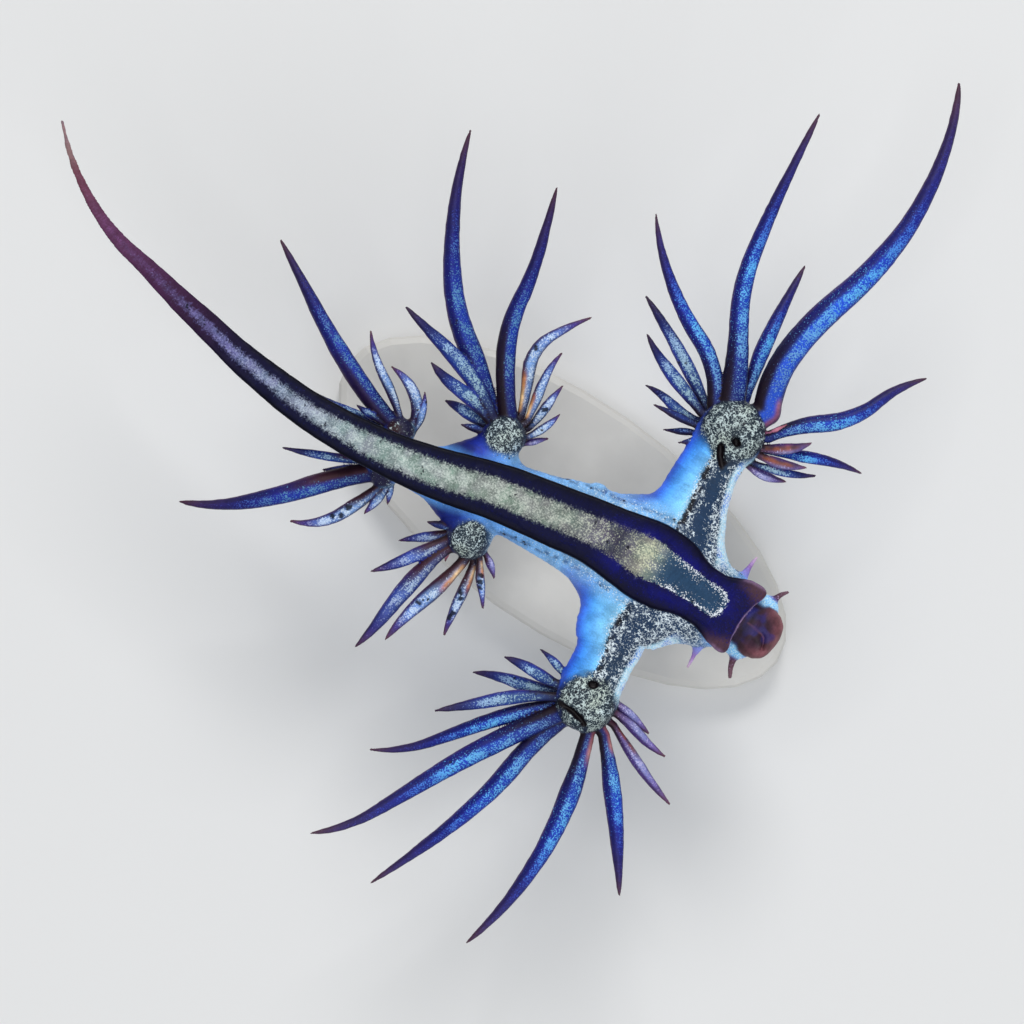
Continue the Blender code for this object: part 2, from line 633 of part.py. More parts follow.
def main():
    clear_scene()
    parts = new_collection("blue_dragon_sea_slug")
    helpers = new_collection("cutters")
    made = []

    def finish(obj, look):
        obj.data.materials.clear()
        obj.data.materials.append(material_for(obj.name, look))
        made.append(obj)

    # the body in lengths, and a slightly larger copy that cuts its neighbours
    body_cutters = []
    for name, first, last, count in BODY_LENGTHS:
        obj = body_length(name, parts, first, last, count)
        if name == "trunk_front":
            bump = ellipsoid("papilla", helpers, PAPILLA)
            combine(obj, bump, "UNION")
            drop(bump)
        finish(obj, "tail" if name.startswith("tail") else "foot")
        body_cutters.append(body_length(name + "_cut", helpers, first, last, count, grow=GAP))
    flap = body_length("foot_front", parts, NECK_END, FOOT_END, 4, flap=True)
    finish(flap, "foot")
    flap_cut = body_length("foot_front_cut", helpers, NECK_END, FOOT_END, 4, grow=GAP, flap=True)
    body_cutters.append(flap_cut)

    # the head: a rounded block under the foot's front edge, with the mouth
    head = ellipsoid("head", parts, SKULL)
    mouth = ellipsoid("mouth", helpers, MOUTH)
    combine(head, mouth, "UNION")
    for cutter in body_cutters[-2:]:
        combine(head, cutter, "DIFFERENCE")
    skull_cut = ellipsoid("skull_cut", helpers, SKULL, grow=GAP)
    mouth_cut = ellipsoid("mouth_cut", helpers, MOUTH, grow=GAP)
    finish(head, "head")
    for name, (root, tip, wide, thin) in FEELERS.items():
        root, tip = Vector(root), Vector(tip)
        way = tip - root
        points = [root, root + way * 0.35, root + way * 0.7, root + way * 0.88, tip]
        radii = [wide / 2, wide / 2, (wide + thin) / 4, thin / 2, thin * 0.2]
        feeler = tapered_tube(name, parts, points, radii, 1)
        for cutter in body_cutters[-3:] + [skull_cut, mouth_cut]:
            combine(feeler, cutter, "DIFFERENCE")
        finish(feeler, "head")

    # the arms with their pads and cerata
    for arm_name, arm in ARMS.items():
        x, y = arm["hub"]
        pad_spec = (x, y, arm["z"], arm["radius"], arm["radius"], arm["hub_height"])
        web = arm_web(arm_name, parts, arm)
        pad = ellipsoid("pad", helpers, pad_spec)
        combine(web, pad, "UNION")
        drop(pad)
        web_cut = arm_web(arm_name + "_cut", helpers, arm, grow=GAP)
        pad_cut = ellipsoid(arm_name + "_pad_cut", helpers, pad_spec, grow=GAP)
        for cutter in body_cutters:
            combine(web, cutter, "DIFFERENCE")
        blockers = [web_cut, pad_cut]
        side = arm_name[4:]
        for letter, row in CERATA[arm_name].items():
            if letter.isupper():
                name = "ceras_" + side + "_" + letter.lower()
                root = BROAD_ROOTS.get((arm_name, letter), ROOT_WIDTH)
                obj = ceras(name, parts, arm, row, True, root)
                for cutter in blockers + body_cutters:
                    combine(obj, cutter, "DIFFERENCE")
                finish(obj, "ceras")
                blockers.append(ceras(name + "_cut", helpers, arm, row, True, root, GAP))
        for letter, row in CERATA[arm_name].items():
            if letter.islower():
                finger = ceras("finger", helpers, arm, row, False)
                for cutter in blockers[2:] + body_cutters:
                    combine(finger, cutter, "DIFFERENCE")
                combine(web, finger, "UNION")
                drop(finger)
        finish(web, "arm")

    # the display stand: an oval base with two short rods
    floor = -FLOOR_TO_FOOT

    def oval(bm):
        bmesh.ops.create_cone(
            bm, cap_ends=True, segments=32, radius1=0.5, radius2=0.5, depth=BASE_THICK
        )
        bmesh.ops.scale(bm, vec=(BASE_LENGTH, BASE_WIDTH, 1), verts=bm.verts)
        bmesh.ops.translate(bm, vec=(BASE_X, BASE_Y, floor + BASE_THICK / 2), verts=bm.verts)
        rim = [
            e
            for e in bm.edges
            if all(v.co.z > floor + BASE_THICK / 2 for v in e.verts)
        ]
        bmesh.ops.bevel(bm, geom=rim, offset=BASE_CHAMFER, segments=2, affect="EDGES", profile=0.5)

    finish(mesh_object("stand_base", parts, oval), "base")
    for name, (x, y) in RODS.items():
        foot = max(interpolate(HALF_WIDTH, x), 0.1)
        under = DEPTH_BASE + DEPTH_PER_HALF_WIDTH * foot
        low = floor + BASE_THICK + GAP
        high = -under + ROD_INTO_BODY

        def rod(bm):
            bmesh.ops.create_cone(
                bm, cap_ends=True, segments=16, radius1=ROD_RADIUS, radius2=ROD_RADIUS, depth=high - low
            )
            bmesh.ops.translate(bm, vec=(x, y, (high + low) / 2), verts=bm.verts)

        post = mesh_object(name, parts, rod)
        for cutter in body_cutters:
            combine(post, cutter, "DIFFERENCE")
        finish(post, "rod")

    for obj in list(helpers.objects):
        drop(obj)
    bpy.data.collections.remove(helpers)

    # millimetres to metres, and the origin under the middle of the model
    low, high = [1e9] * 3, [-1e9] * 3
    for obj in made:
        tidy(obj)
        a, b = corners(obj)
        low = [min(p, q) for p, q in zip(low, a)]
        high = [max(p, q) for p, q in zip(high, b)]
    move = Vector((-(low[0] + high[0]) / 2, -(low[1] + high[1]) / 2, -low[2]))
    for obj in made:
        obj.data.transform(Matrix.Scale(MM, 4) @ Matrix.Translation(move))
        obj.data.update()
        obj.data.shade_smooth()
        obj.data.set_sharp_from_angle(angle=math.radians(50))
    for obj in made:
        obj.data.calc_loop_triangles()
    print("moved by", [round(v, 4) for v in move], "mm;", len(made), "pieces;", end=" ")
    print(sum(len(obj.data.loop_triangles) for obj in made), "triangles")


main()
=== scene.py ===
"""Looks of the blue dragon sea slug model: one skin over all the solids of flesh,
with its markings, on a plain display stand, seen from straight above.

Lengths in the tables are millimetres in the layout that the solids use, with the
sole of the foot at height 0. SHIFT and MM bring them into the frame."""

import math

import bmesh
import bpy
import numpy as np
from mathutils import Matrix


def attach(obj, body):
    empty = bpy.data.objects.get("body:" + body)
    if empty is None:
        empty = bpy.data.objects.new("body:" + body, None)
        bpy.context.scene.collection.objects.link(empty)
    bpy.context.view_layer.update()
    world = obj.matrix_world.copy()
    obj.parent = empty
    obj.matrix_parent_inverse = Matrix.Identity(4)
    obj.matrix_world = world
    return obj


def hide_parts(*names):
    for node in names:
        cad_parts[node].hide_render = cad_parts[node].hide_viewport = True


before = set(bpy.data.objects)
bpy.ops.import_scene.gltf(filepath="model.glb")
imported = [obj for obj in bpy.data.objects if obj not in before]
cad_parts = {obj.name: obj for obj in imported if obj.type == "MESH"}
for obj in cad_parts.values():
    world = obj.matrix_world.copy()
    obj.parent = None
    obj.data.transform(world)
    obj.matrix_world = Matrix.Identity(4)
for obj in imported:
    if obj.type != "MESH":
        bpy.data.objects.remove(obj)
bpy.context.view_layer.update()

MM = 0.001
SHIFT = np.array([4.5875, -3.6949, 12.0])
VOXEL = 0.066

# ---------------------------------------------------------------- shape tables
# x, y of the middle, half width of the sole
FOOT_LINE = [
    (-24.5, 1.50, 0.05),
    (-23.4, 0.53, 0.15),
    (-22.2, -0.25, 0.20),
    (-20.9, -0.89, 0.26),
    (-19.5, -1.34, 0.33),
    (-17.7, -1.62, 0.42),
    (-15.7, -1.97, 0.53),
    (-13.8, -2.24, 0.62),
    (-12.2, -2.48, 0.68),
    (-10.7, -2.60, 0.75),
    (-8.8, -2.68, 0.84),
    (-6.5, -2.54, 0.93),
    (-4.5, -2.25, 1.00),
    (-2.3, -1.74, 1.14),
    (0.5, -0.85, 1.28),
    (3.0, -0.28, 1.37),
    (5.1, 0.18, 1.46),
    (6.7, 0.37, 1.67),
    (7.7, 0.47, 1.80),
    (8.85, 0.55, 1.72),
    (10.2, 0.58, 1.30),
    (10.9, 0.60, 1.30),
    (11.4, 0.62, 1.50),
    (11.9, 0.66, 1.68),
    (12.3, 0.70, 1.74),
    (12.9, 0.70, 1.72),
]
# how far the flank stands out past the sole, each side
FLANK_LEFT = [
    (-24.5, -0.04), (-4.0, -0.04), (-1.0, 0.28), (2.2, 0.50), (4.4, 0.82), (5.6, 1.05),
    (9.2, 1.05), (10.2, 0.95), (10.9, 0.86), (11.4, 0.58), (11.9, 0.05), (12.9, -0.5),
]
FLANK_RIGHT = [
    (-24.5, -0.04), (-4.0, -0.04), (-1.0, 0.10), (2.4, 0.25), (3.6, 0.44), (5.0, 0.50), (5.8, 0.70),
    (9.2, 0.85), (10.2, 0.66), (10.8, 0.45), (11.3, 0.34), (11.8, 0.0), (12.9, -0.5),
]
TAIL_LIFT = 0.7
FOOT_FRONT = 12.50  # where the sole ends in the middle; its corners reach further
FOOT_CORNER = 0.24

ARMS = {
    "front_right": dict(
        hub=(7.45, 7.31), radius=1.41, hub_height=0.92, z=-1.50, half_height=0.92, side=1,
        web=[(8.10, 0.8, 2.60), (8.00, 2.3, 2.30), (7.95, 3.04, 1.90), (7.80, 3.76, 1.60), (7.63, 4.6, 1.46), (7.49, 5.6, 1.36), (7.45, 6.7, 1.34)],
    ),
    "front_left": dict(
        hub=(9.01, -6.26), radius=1.28, hub_height=0.88, z=-1.50, half_height=0.90, side=-1,
        web=[(8.35, -0.4, 2.60), (8.20, -1.8, 2.38), (8.20, -2.86, 1.80), (8.45, -3.7, 1.47), (8.58, -4.3, 1.34), (8.74, -5.4, 1.36)],
    ),
    "middle_right": dict(
        hub=(-0.70, 1.39), radius=0.84, hub_height=0.70, z=-1.35, half_height=0.72, side=1,
        web=[(-0.6, -0.9, 1.9), (-0.65, 0.3, 1.25), (-0.7, 1.0, 0.86)],
    ),
    "middle_left": dict(
        hub=(0.62, -3.27), radius=0.84, hub_height=0.70, z=-1.35, half_height=0.72, side=-1,
        web=[(-0.4, -1.4, 2.2), (0.20, -2.4, 1.62), (0.50, -2.95, 0.95)],
    ),
    "rear_right": dict(
        hub=(-4.60, -1.15), radius=0.58, hub_height=0.46, z=-1.72, half_height=0.40, side=1,
        web=[(-4.7, -2.0, 0.62), (-4.65, -1.55, 0.58), (-4.6, -1.2, 0.52)],
    ),
    "rear_left": dict(
        hub=(-4.15, -3.05), radius=0.58, hub_height=0.46, z=-1.72, half_height=0.40, side=-1,
        web=[(-4.3, -2.2, 0.62), (-4.2, -2.7, 0.58), (-4.15, -3.0, 0.52)],
    ),
}

# letter: (root angle on the pad, root distance from its middle, length, greatest width,
#          headings in degrees from root to tip, height of root, rise of tip, face)
# face: b blue, p pale blue, s silver, o silver with an orange side, w broad orange,
# v violet, d dark, k pink
CERATA = {
    "front_right": {
        "A": (65, 1.74, 17.35, 1.20, (118, 88, 75, 83, 96, 106, 121), 0.00, -0.6, "b"),
        "B": (127, 1.33, 13.4, 0.88, (115, 124, 103, 99, 98), 0.10, 0.5, "b"),
        "E": (26, 1.60, 7.6, 0.80, (60, 38, 73, 50), 0.05, -0.5, "b"),
        "C": (158, 1.45, 8.9, 0.74, (118, 158, 145, 130), 0.10, 0.3, "b"),
        "D": (103, 1.48, 6.6, 0.72, (109, 99, 96), -0.45, -0.9, "b"),
        "H": (174, 1.45, 5.75, 0.66, (148, 153, 158), -0.35, -1.1, "p"),
        "I": (-176, 1.62, 4.2, 0.62, (162, 164, 150), 0.15, 0.5, "p"),
        "F": (6, 1.70, 4.4, 0.54, (25, 26, 9), -0.20, -0.7, "b"),
        "j": (-163, 1.50, 2.9, 0.50, (-159, -192, -172), -0.30, -0.5, "p"),
        "k": (-152, 1.45, 2.3, 0.38, (-172, -170), 0.05, 0.3, "d"),
        "l": (-143, 1.45, 1.6, 0.34, (-148, -152), -0.25, -0.3, "d"),
        "m": (-130, 1.45, 1.0, 0.28, (-138, -138), 0.10, 0.1, "d"),
        "r": (5, 1.50, 2.2, 0.52, (30, 38, 58), 0.10, 0.25, "w"),
        "g": (-7, 1.62, 2.1, 0.48, (10, 20, 32), 0.12, 0.2, "w"),
        "s": (-21, 1.70, 2.8, 0.40, (14, 22, 36), -0.15, -0.1, "p"),
        "n": (-30, 1.65, 1.85, 0.46, (-4, 12, 28), -0.40, -0.45, "v"),
        "q": (33, 1.59, 0.85, 0.18, (55, 64), 0.40, 0.15, "k"),
    },
    "front_left": {
        "C": (-51, 1.35, 10.95, 0.96, (-68, -78, -91, -104), 0.00, -0.5, "b"),
        "A": (-124, 1.20, 12.3, 0.96, (-122, -119, -114, -114, -138), 0.05, 0.4, "b"),
        "B": (-110, 1.45, 11.1, 0.88, (-108, -94, -104, -109, -111), -0.35, -1.2, "b"),
        "D": (-26, 1.65, 7.1, 0.82, (-44, -50, -54), 0.05, 0.3, "b"),
        "E": (-147, 1.20, 8.7, 0.72, (-132, -127, -124, -150), -0.25, -0.7, "b"),
        "I": (-156, 1.38, 5.35, 0.64, (-151, -134, -136), 0.20, 0.6, "p"),
        "J": (-168, 1.38, 3.8, 0.62, (-150, -164, -150), -0.30, -0.7, "p"),
        "F": (-4, 1.60, 4.35, 0.50, (-24, -21, -13), -0.30, -0.8, "w"),
        "k": (-179, 1.40, 2.75, 0.60, (-170, -178, -164), 0.15, 0.3, "p"),
        "g": (16, 1.35, 2.9, 0.48, (2, -14, 2), 0.15, 0.3, "v"),
        "h": (37, 1.25, 2.1, 0.48, (-5, -10), -0.30, -0.2, "v"),
        "l": (162, 1.40, 1.7, 0.40, (158, 178), -0.15, -0.2, "p"),
    },
    "middle_right": {
        "A": (157, 0.90, 13.15, 1.00, (140, 149, 128, 118, 108), -0.15, -0.6, "b"),
        "B": (116, 0.90, 10.4, 0.88, (133, 122, 99, 109, 111), 0.05, 0.5, "b"),
        "H": (159, 1.05, 6.15, 0.76, (146, 162, 171, 168), 0.30, 0.5, "p"),
        "C": (86, 1.10, 5.9, 0.60, (110, 120, 66, 55), -0.30, -0.8, "o"),
        "I": (170, 1.10, 3.45, 0.70, (160, 180, 163), 0.25, 0.7, "p"),
        "d": (68, 1.15, 3.4, 0.48, (101, 104, 82), 0.10, 0.5, "o"),
        "e": (52, 1.10, 2.4, 0.46, (82, 90, 84), -0.35, -0.2, "s"),
        "f": (30, 0.95, 1.8, 0.40, (57, 82), 0.00, 0.2, "s"),
        "g": (10, 0.90, 1.1, 0.32, (48, 48), -0.30, -0.2, "v"),
        "j": (-173, 1.05, 2.0, 0.60, (-182, -172), -0.20, -0.3, "p"),
        "k": (-156, 0.90, 1.1, 0.38, (-162, -160), 0.15, 0.1, "d"),
    },
    "middle_left": {
        "A": (-121, 1.10, 5.95, 0.80, (-110, -98, -94, -94, -102), 0.00, -0.6, "p"),
        "F": (-144, 0.95, 3.65, 0.64, (-117, -121, -130), 0.15, 0.5, "p"),
        "B": (-68, 0.95, 4.95, 0.72, (-96, -105, -93), 0.10, 0.4, "o"),
        "C": (-44, 1.05, 3.5, 0.54, (-71, -82, -74), -0.25, -0.5, "o"),
        "d": (-27, 1.00, 2.2, 0.42, (-58, -47, -54), 0.10, 0.3, "o"),
        "e": (-8, 0.95, 1.2, 0.36, (-24, -46), -0.25, -0.2, "v"),
        "g": (-165, 0.90, 2.3, 0.46, (-127, -140, -134), -0.30, -0.5, "p"),
        "h": (178, 0.85, 1.2, 0.38, (-153, -160), 0.10, 0.1, "d"),
        "q": (-119, 1.02, 0.55, 0.26, (-75, -65), -0.25, -0.1, "k"),
    },
    "rear_right": {
        "A": (172, 0.50, 9.6, 0.90, (166, 157, 152, 153), -0.05, -0.7, "b"),
        "B": (122, 0.50, 4.2, 0.48, (140, 152, 130), 0.00, 0.2, "s"),
        "C": (64, 0.52, 3.1, 0.58, (88, 150, 180), -0.15, -0.3, "s"),
        "E": (-168, 0.80, 3.4, 0.40, (-167, -167, -180), -0.05, 0.2, "p"),
        "d": (34, 0.55, 1.9, 0.40, (88, 128), 0.00, 0.1, "s"),
        "f": (-172, 1.05, 1.2, 0.38, (179, 179), 0.20, 0.3, "p"),
    },
    "rear_left": {
        "A": (-150, 0.50, 8.75, 0.94, (-137, -127, -136, -155), -0.05, -0.5, "b"),
        "C": (178, 0.90, 3.8, 0.44, (-149, -154, -158), 0.05, 0.4, "p"),
        "B": (-60, 0.50, 4.6, 0.60, (-106, -114, -160), -0.05, -0.4, "s"),
        "e": (-36, 0.45, 1.7, 0.44, (-80, -103), 0.00, 0.1, "s"),
        "f": (-12, 0.50, 1.0, 0.34, (-64, -66), -0.10, 0.0, "s"),
        "d": (-160, 0.85, 1.9, 0.42, (-140, -146), -0.10, -0.1, "p"),
    },
}
ROOT_WIDTH = 0.66
WIDEST_AT = 0.27
# places of the large dark dots along some cerata, as parts of their length
BLOTS = {
    ("middle_right", "C"): (0.52,),
    ("middle_right", "e"): (0.45,),
    ("middle_left", "B"): (0.56,),
    ("middle_left", "C"): (0.42, 0.50, 0.70, 0.76),
    ("middle_left", "d"): (0.34, 0.46, 0.58),
    ("rear_left", "B"): (0.40, 0.50, 0.58),
}
BROAD_ROOTS = {
    ("front_right", "A"): 1.05,
    ("front_right", "B"): 1.35,
    ("front_right", "C"): 1.00,
    ("front_left", "A"): 0.90,
    ("front_left", "B"): 0.90,
    ("middle_right", "B"): 0.95,
    ("rear_right", "A"): 0.90,
    ("rear_left", "A"): 0.90,
}

SKULL = (12.72, 0.70, -1.30, 1.25, 1.48, 1.00)
MOUTH = (13.36, 0.68, -0.92, 1.05, 1.18, 0.76)
CHEEKS = [(13.12, 1.72, -1.20, 0.52, 0.58, 0.46), (13.12, -0.32, -1.20, 0.50, 0.56, 0.46)]
PAPILLA = (4.12, 1.66, -0.98, 0.46, 0.42, 0.42)
# plan points, heights and widths of the feelers
FEELERS = {
    "oral_right": ([(13.10, 1.85), (13.20, 2.25), (13.32, 2.60), (13.50, 2.86)], (-1.15, -1.05), (0.50, 0.30, 0.21, 0.14)),
    "oral_left": ([(13.10, -0.45), (13.18, -0.80), (13.30, -1.20), (13.56, -1.66)], (-1.15, -1.05), (0.52, 0.34, 0.25, 0.16)),
    "rhino_right": ([(11.50, 1.75), (11.50, 2.30), (11.50, 2.78), (11.51, 3.34)], (-1.45, -1.50), (0.62, 0.44, 0.23, 0.12)),
    "rhino_left": ([(11.58, -0.90), (11.66, -1.42), (11.72, -1.80), (11.79, -2.34)], (-1.45, -1.50), (0.62, 0.42, 0.20, 0.12)),
}
# dents: plan points, half width
DENTS = [
    ([(7.37, 6.42), (7.60, 6.08), (7.91, 5.81)], 0.16),
    ([(7.80, 7.02), (7.86, 6.97)], 0.20),
    ([(8.76, -5.44), (8.86, -5.40)], 0.20),
    ([(7.75, -7.07), (8.15, -6.92), (8.62, -6.86), (9.05, -6.93), (9.45, -7.05)], 0.14),
]
MOUTH_CREASE = [(12.80, 0.73), (13.43, 0.71), (13.75, 0.62), (13.89, 0.36), (13.97, 0.15)]


# ---------------------------------------------------------------- small maths
def monotone(table, column=1):
    """A smooth curve through a table that doesn't swing past its points."""
    xs = np.array([row[0] for row in table], float)
    ys = np.array([row[column] for row in table], float)
    step = np.diff(xs)
    slope = np.diff(ys) / step
    m = np.zeros(len(xs))
    m[0], m[-1] = slope[0], slope[-1]
    for i in range(1, len(xs) - 1):
        if slope[i - 1] * slope[i] > 0:
            a, b = 2 * step[i] + step[i - 1], step[i] + 2 * step[i - 1]
            m[i] = (a + b) / (a / slope[i - 1] + b / slope[i])

    def value(x):
        x = np.clip(x, xs[0], xs[-1])
        i = np.clip(np.searchsorted(xs, x, side="right") - 1, 0, len(step) - 1)
        t = (x - xs[i]) / step[i]
        return (
            (1 + 2 * t) * (1 - t) ** 2 * ys[i]
            + t * (1 - t) ** 2 * step[i] * m[i]
            + t * t * (3 - 2 * t) * ys[i + 1]
            + t * t * (t - 1) * step[i] * m[i + 1]
        )

    return value


def smooth(low, high, x):
    t = np.clip((x - low) / (high - low), 0, 1)
    return t * t * (3 - 2 * t)


def smooth_min(a, b, k):
    h = np.clip(0.5 + 0.5 * (b - a) / k, 0, 1)
    return b + (a - b) * h - k * h * (1 - h)


def mix(a, b, t):
    """Between a and b, numbers or colours, one share for each point."""
    t = np.asarray(t, float)
    threes = any(np.ndim(v) and np.shape(v)[-1] == 3 for v in (a, b))
    if threes and t.ndim and t.shape[-1] != 3:
        t = t[..., None]
    return a + (b - a) * t


def linear(*rgb):
    """A display colour, 0 to 255, as linear light."""
    c = np.array(rgb, float) / 255
    return np.where(c <= 0.04045, c / 12.92, ((c + 0.055) / 1.055) ** 2.4)


def ramp(x, stops):
    """Colour along x through (place, (r, g, b)) stops."""
    places = [s[0] for s in stops]
    colours = np.array([linear(*s[1]) for s in stops])
    return np.stack([np.interp(x, places, colours[:, k]) for k in range(3)], -1)


def hashed(ix, iy, iz, seed):
    n = (
        ix.astype(np.uint32) * np.uint32(73856093)
        ^ iy.astype(np.uint32) * np.uint32(19349663)
        ^ iz.astype(np.uint32) * np.uint32(83492791)
        ^ np.uint32((seed * 2654435761) % 2**32)
    )
    n ^= n >> np.uint32(15)
    n *= np.uint32(2246822519)
    n ^= n >> np.uint32(13)
    n *= np.uint32(3266489917)
    n ^= n >> np.uint32(16)
    return n.astype(np.float64) / 2**32


def value_noise(p, scale, seed=0):
    """Smooth noise, 0 to 1, at points p of shape (n, 3)."""
    q = p * scale + 1000.0
    cell = np.floor(q).astype(np.int64)
    f = q - cell
    f = f * f * f * (f * (f * 6 - 15) + 10)
    total = 0
    for dx in (0, 1):
        for dy in (0, 1):
            for dz in (0, 1):
                w = (
                    (f[:, 0] if dx else 1 - f[:, 0])
                    * (f[:, 1] if dy else 1 - f[:, 1])
                    * (f[:, 2] if dz else 1 - f[:, 2])
                )
                total = total + w * hashed(cell[:, 0] + dx, cell[:, 1] + dy, cell[:, 2] + dz, seed)
    return total


def cell_noise(p, scale, seed=0):
    """Distance to the nearest of scattered points, in cells."""
    q = p * scale + 1000.0
    cell = np.floor(q).astype(np.int64)
    best = np.full(len(p), 9.0)
    for dx in (-1, 0, 1):
        for dy in (-1, 0, 1):
            for dz in (-1, 0, 1):
                c = cell + (dx, dy, dz)
                away = 0
                for k in range(3):
                    place = c[:, k] + hashed(c[:, 0], c[:, 1], c[:, 2], seed + 7 * k)
                    away = away + (q[:, k] - place) ** 2
                best = np.minimum(best, away)
    return np.sqrt(best)


# ---------------------------------------------------------------- swept shapes
class Sweep:
    """A line in plan that a section follows. Sections are given at its points."""

    def __init__(self, points, **sections):
        self.points = np.array(points, float)
        self.lengths = np.linalg.norm(np.diff(self.points, axis=0), axis=1)
        self.along = np.concatenate([[0], np.cumsum(self.lengths)])
        self.sections = {k: np.array(v, float) for k, v in sections.items()}

    def nearest(self, x, y):
        """Place on the line as a point number with its fraction, and the signed distance."""
        best = np.full(x.shape, 1e9)
        place = np.zeros(x.shape)
        side = np.ones(x.shape)
        for i, (a, b) in enumerate(zip(self.points[:-1], self.points[1:])):
            d = b - a
            wx, wy = x - a[0], y - a[1]
            t = np.clip((wx * d[0] + wy * d[1]) / max(d @ d, 1e-12), 0, 1)
            ex, ey = wx - t * d[0], wy - t * d[1]
            away = ex * ex + ey * ey
            take = away < best
            best = np.where(take, away, best)
            place = np.where(take, i + t, place)
            side = np.where(take, np.where(d[0] * wy - d[1] * wx >= 0, 1.0, -1.0), side)
        return place, np.sqrt(best) * side

    def at(self, name, place):
        return np.interp(place, np.arange(len(self.points)), self.sections[name])

    def mm(self, place):
        return np.interp(place, np.arange(len(self.points)), self.along)

    def reach(self):
        wide = max(np.abs(v).max() for k, v in self.sections.items() if k in ("a", "left", "right", "half"))
        return self.points.min(0) - wide, self.points.max(0) + wide


def ellipse(u, v, a, b):
    k0 = np.sqrt((u / a) ** 2 + (v / b) ** 2)
    k1 = np.sqrt((u / a**2) ** 2 + (v / b**2) ** 2)
    return np.where(k1 > 1e-6, k0 * (k0 - 1) / np.maximum(k1, 1e-6), -np.minimum(a, b))


def ellipsoid(p, shape):
    c, r = np.array(shape[:3]), np.array(shape[3:])
    q = p - c
    k0 = np.sqrt(((q / r) ** 2).sum(-1))
    k1 = np.sqrt(((q / r**2) ** 2).sum(-1))
    return k0 * (k0 - 1) / np.maximum(k1, 1e-6)


foot_middle, foot_half = monotone(FOOT_LINE, 1), monotone(FOOT_LINE, 2)
flank_left, flank_right = monotone(FLANK_LEFT), monotone(FLANK_RIGHT)


def tail_lift(x):
    t = np.clip((-x - 9) / 15.5, 0, 1.2)
    return TAIL_LIFT * t * t


def body_depth(x):
    return np.maximum(0.34 + 1.60 * foot_half(x), 0.5) * (0.25 + 0.75 * smooth(-24.9, -22.5, x))


def make_body():
    x = np.concatenate([np.linspace(-24.5, -9, 46), np.linspace(-8.5, 12.9, 54)])
    return Sweep(np.stack([x, foot_middle(x)], 1), x=x, half=foot_half(x), left=foot_half(x) + flank_left(x), right=foot_half(x) + flank_right(x))


body_line = make_body()


def foot_field(x, y, z, place, u):
    """The sole: a thin slab with a rounded rim and a gently crowned face."""
    sx = body_line.at("x", place)
    half = body_line.at("half", place)
    e = np.minimum(1, np.maximum(half, 0.12))
    lift = tail_lift(sx)
    crown = 0.10 * e * (1 - np.clip(u / half, -1, 1) ** 2)
    top = lift + crown
    thick = 0.34 * e + crown
    r = np.minimum(0.13, 0.42 * thick)
    qu = np.abs(u) - (half - r)
    # the front edge, a little hollow between its two corners
    front = x - (FOOT_FRONT + FOOT_CORNER * np.minimum(((y - 0.66) / 1.3) ** 2, 1.6))
    soft = 0.42
    corner = np.where(
        front > -1.2,
        soft - smooth_min(soft - qu, soft - (front + r), 0.55),
        qu,
    )
    # lift the free front flap a little over the head
    tilt = 0.10 * smooth(11.2, 12.8, x)
    qv = np.abs(z - (top + tilt - thick / 2)) - (thick / 2 - r)
    return np.sqrt(np.maximum(corner, 0) ** 2 + np.maximum(qv, 0) ** 2) + np.minimum(np.maximum(corner, qv), 0) - r


def flank_field(x, y, z, place, u):
    sx = body_line.at("x", place)
    left, right = body_line.at("left", place), body_line.at("right", place)
    # u is positive to the right flank, +Y
    half = np.maximum((left + right) / 2, 0.05)
    off = (right - left) / 2
    depth = body_depth(sx)
    return ellipse(u - off, z - (tail_lift(sx) - 0.5 * depth), half, 0.5 * depth)


arm_lines = {}
for arm_name, arm in ARMS.items():
    web = arm["web"]
    knots = np.arange(len(web), dtype=float)
    fine = np.linspace(0, len(web) - 1, 6 * len(web))
    columns = [monotone([(k, row[c]) for k, row in zip(knots, web)])(fine) for c in range(3)]
    arm_lines[arm_name] = Sweep(
        np.stack(columns[:2], 1), a=columns[2], b=np.linspace(arm["half_height"] + 0.1, arm["half_height"] * 0.86, len(fine))
    )


def arm_field(name, z, place, u):
    line = arm_lines[name]
    return ellipse(u, z - ARMS[name]["z"], line.at("a", place), line.at("b", place))


def pad_field(name, x, y, z):
    arm = ARMS[name]
    rho = np.hypot(x - arm["hub"][0], y - arm["hub"][1])
    height, radius = arm["hub_height"], arm["radius"]
    r = 0.72 * height
    crown = 0.10 * (1 - np.clip(rho / radius, 0, 1) ** 2)
    q1 = rho - (radius - r)
    q2 = np.abs(z - arm["z"] - crown) - (height - r)
    return np.sqrt(np.maximum(q1, 0) ** 2 + np.maximum(q2, 0) ** 2) + np.minimum(np.maximum(q1, q2), 0) - r


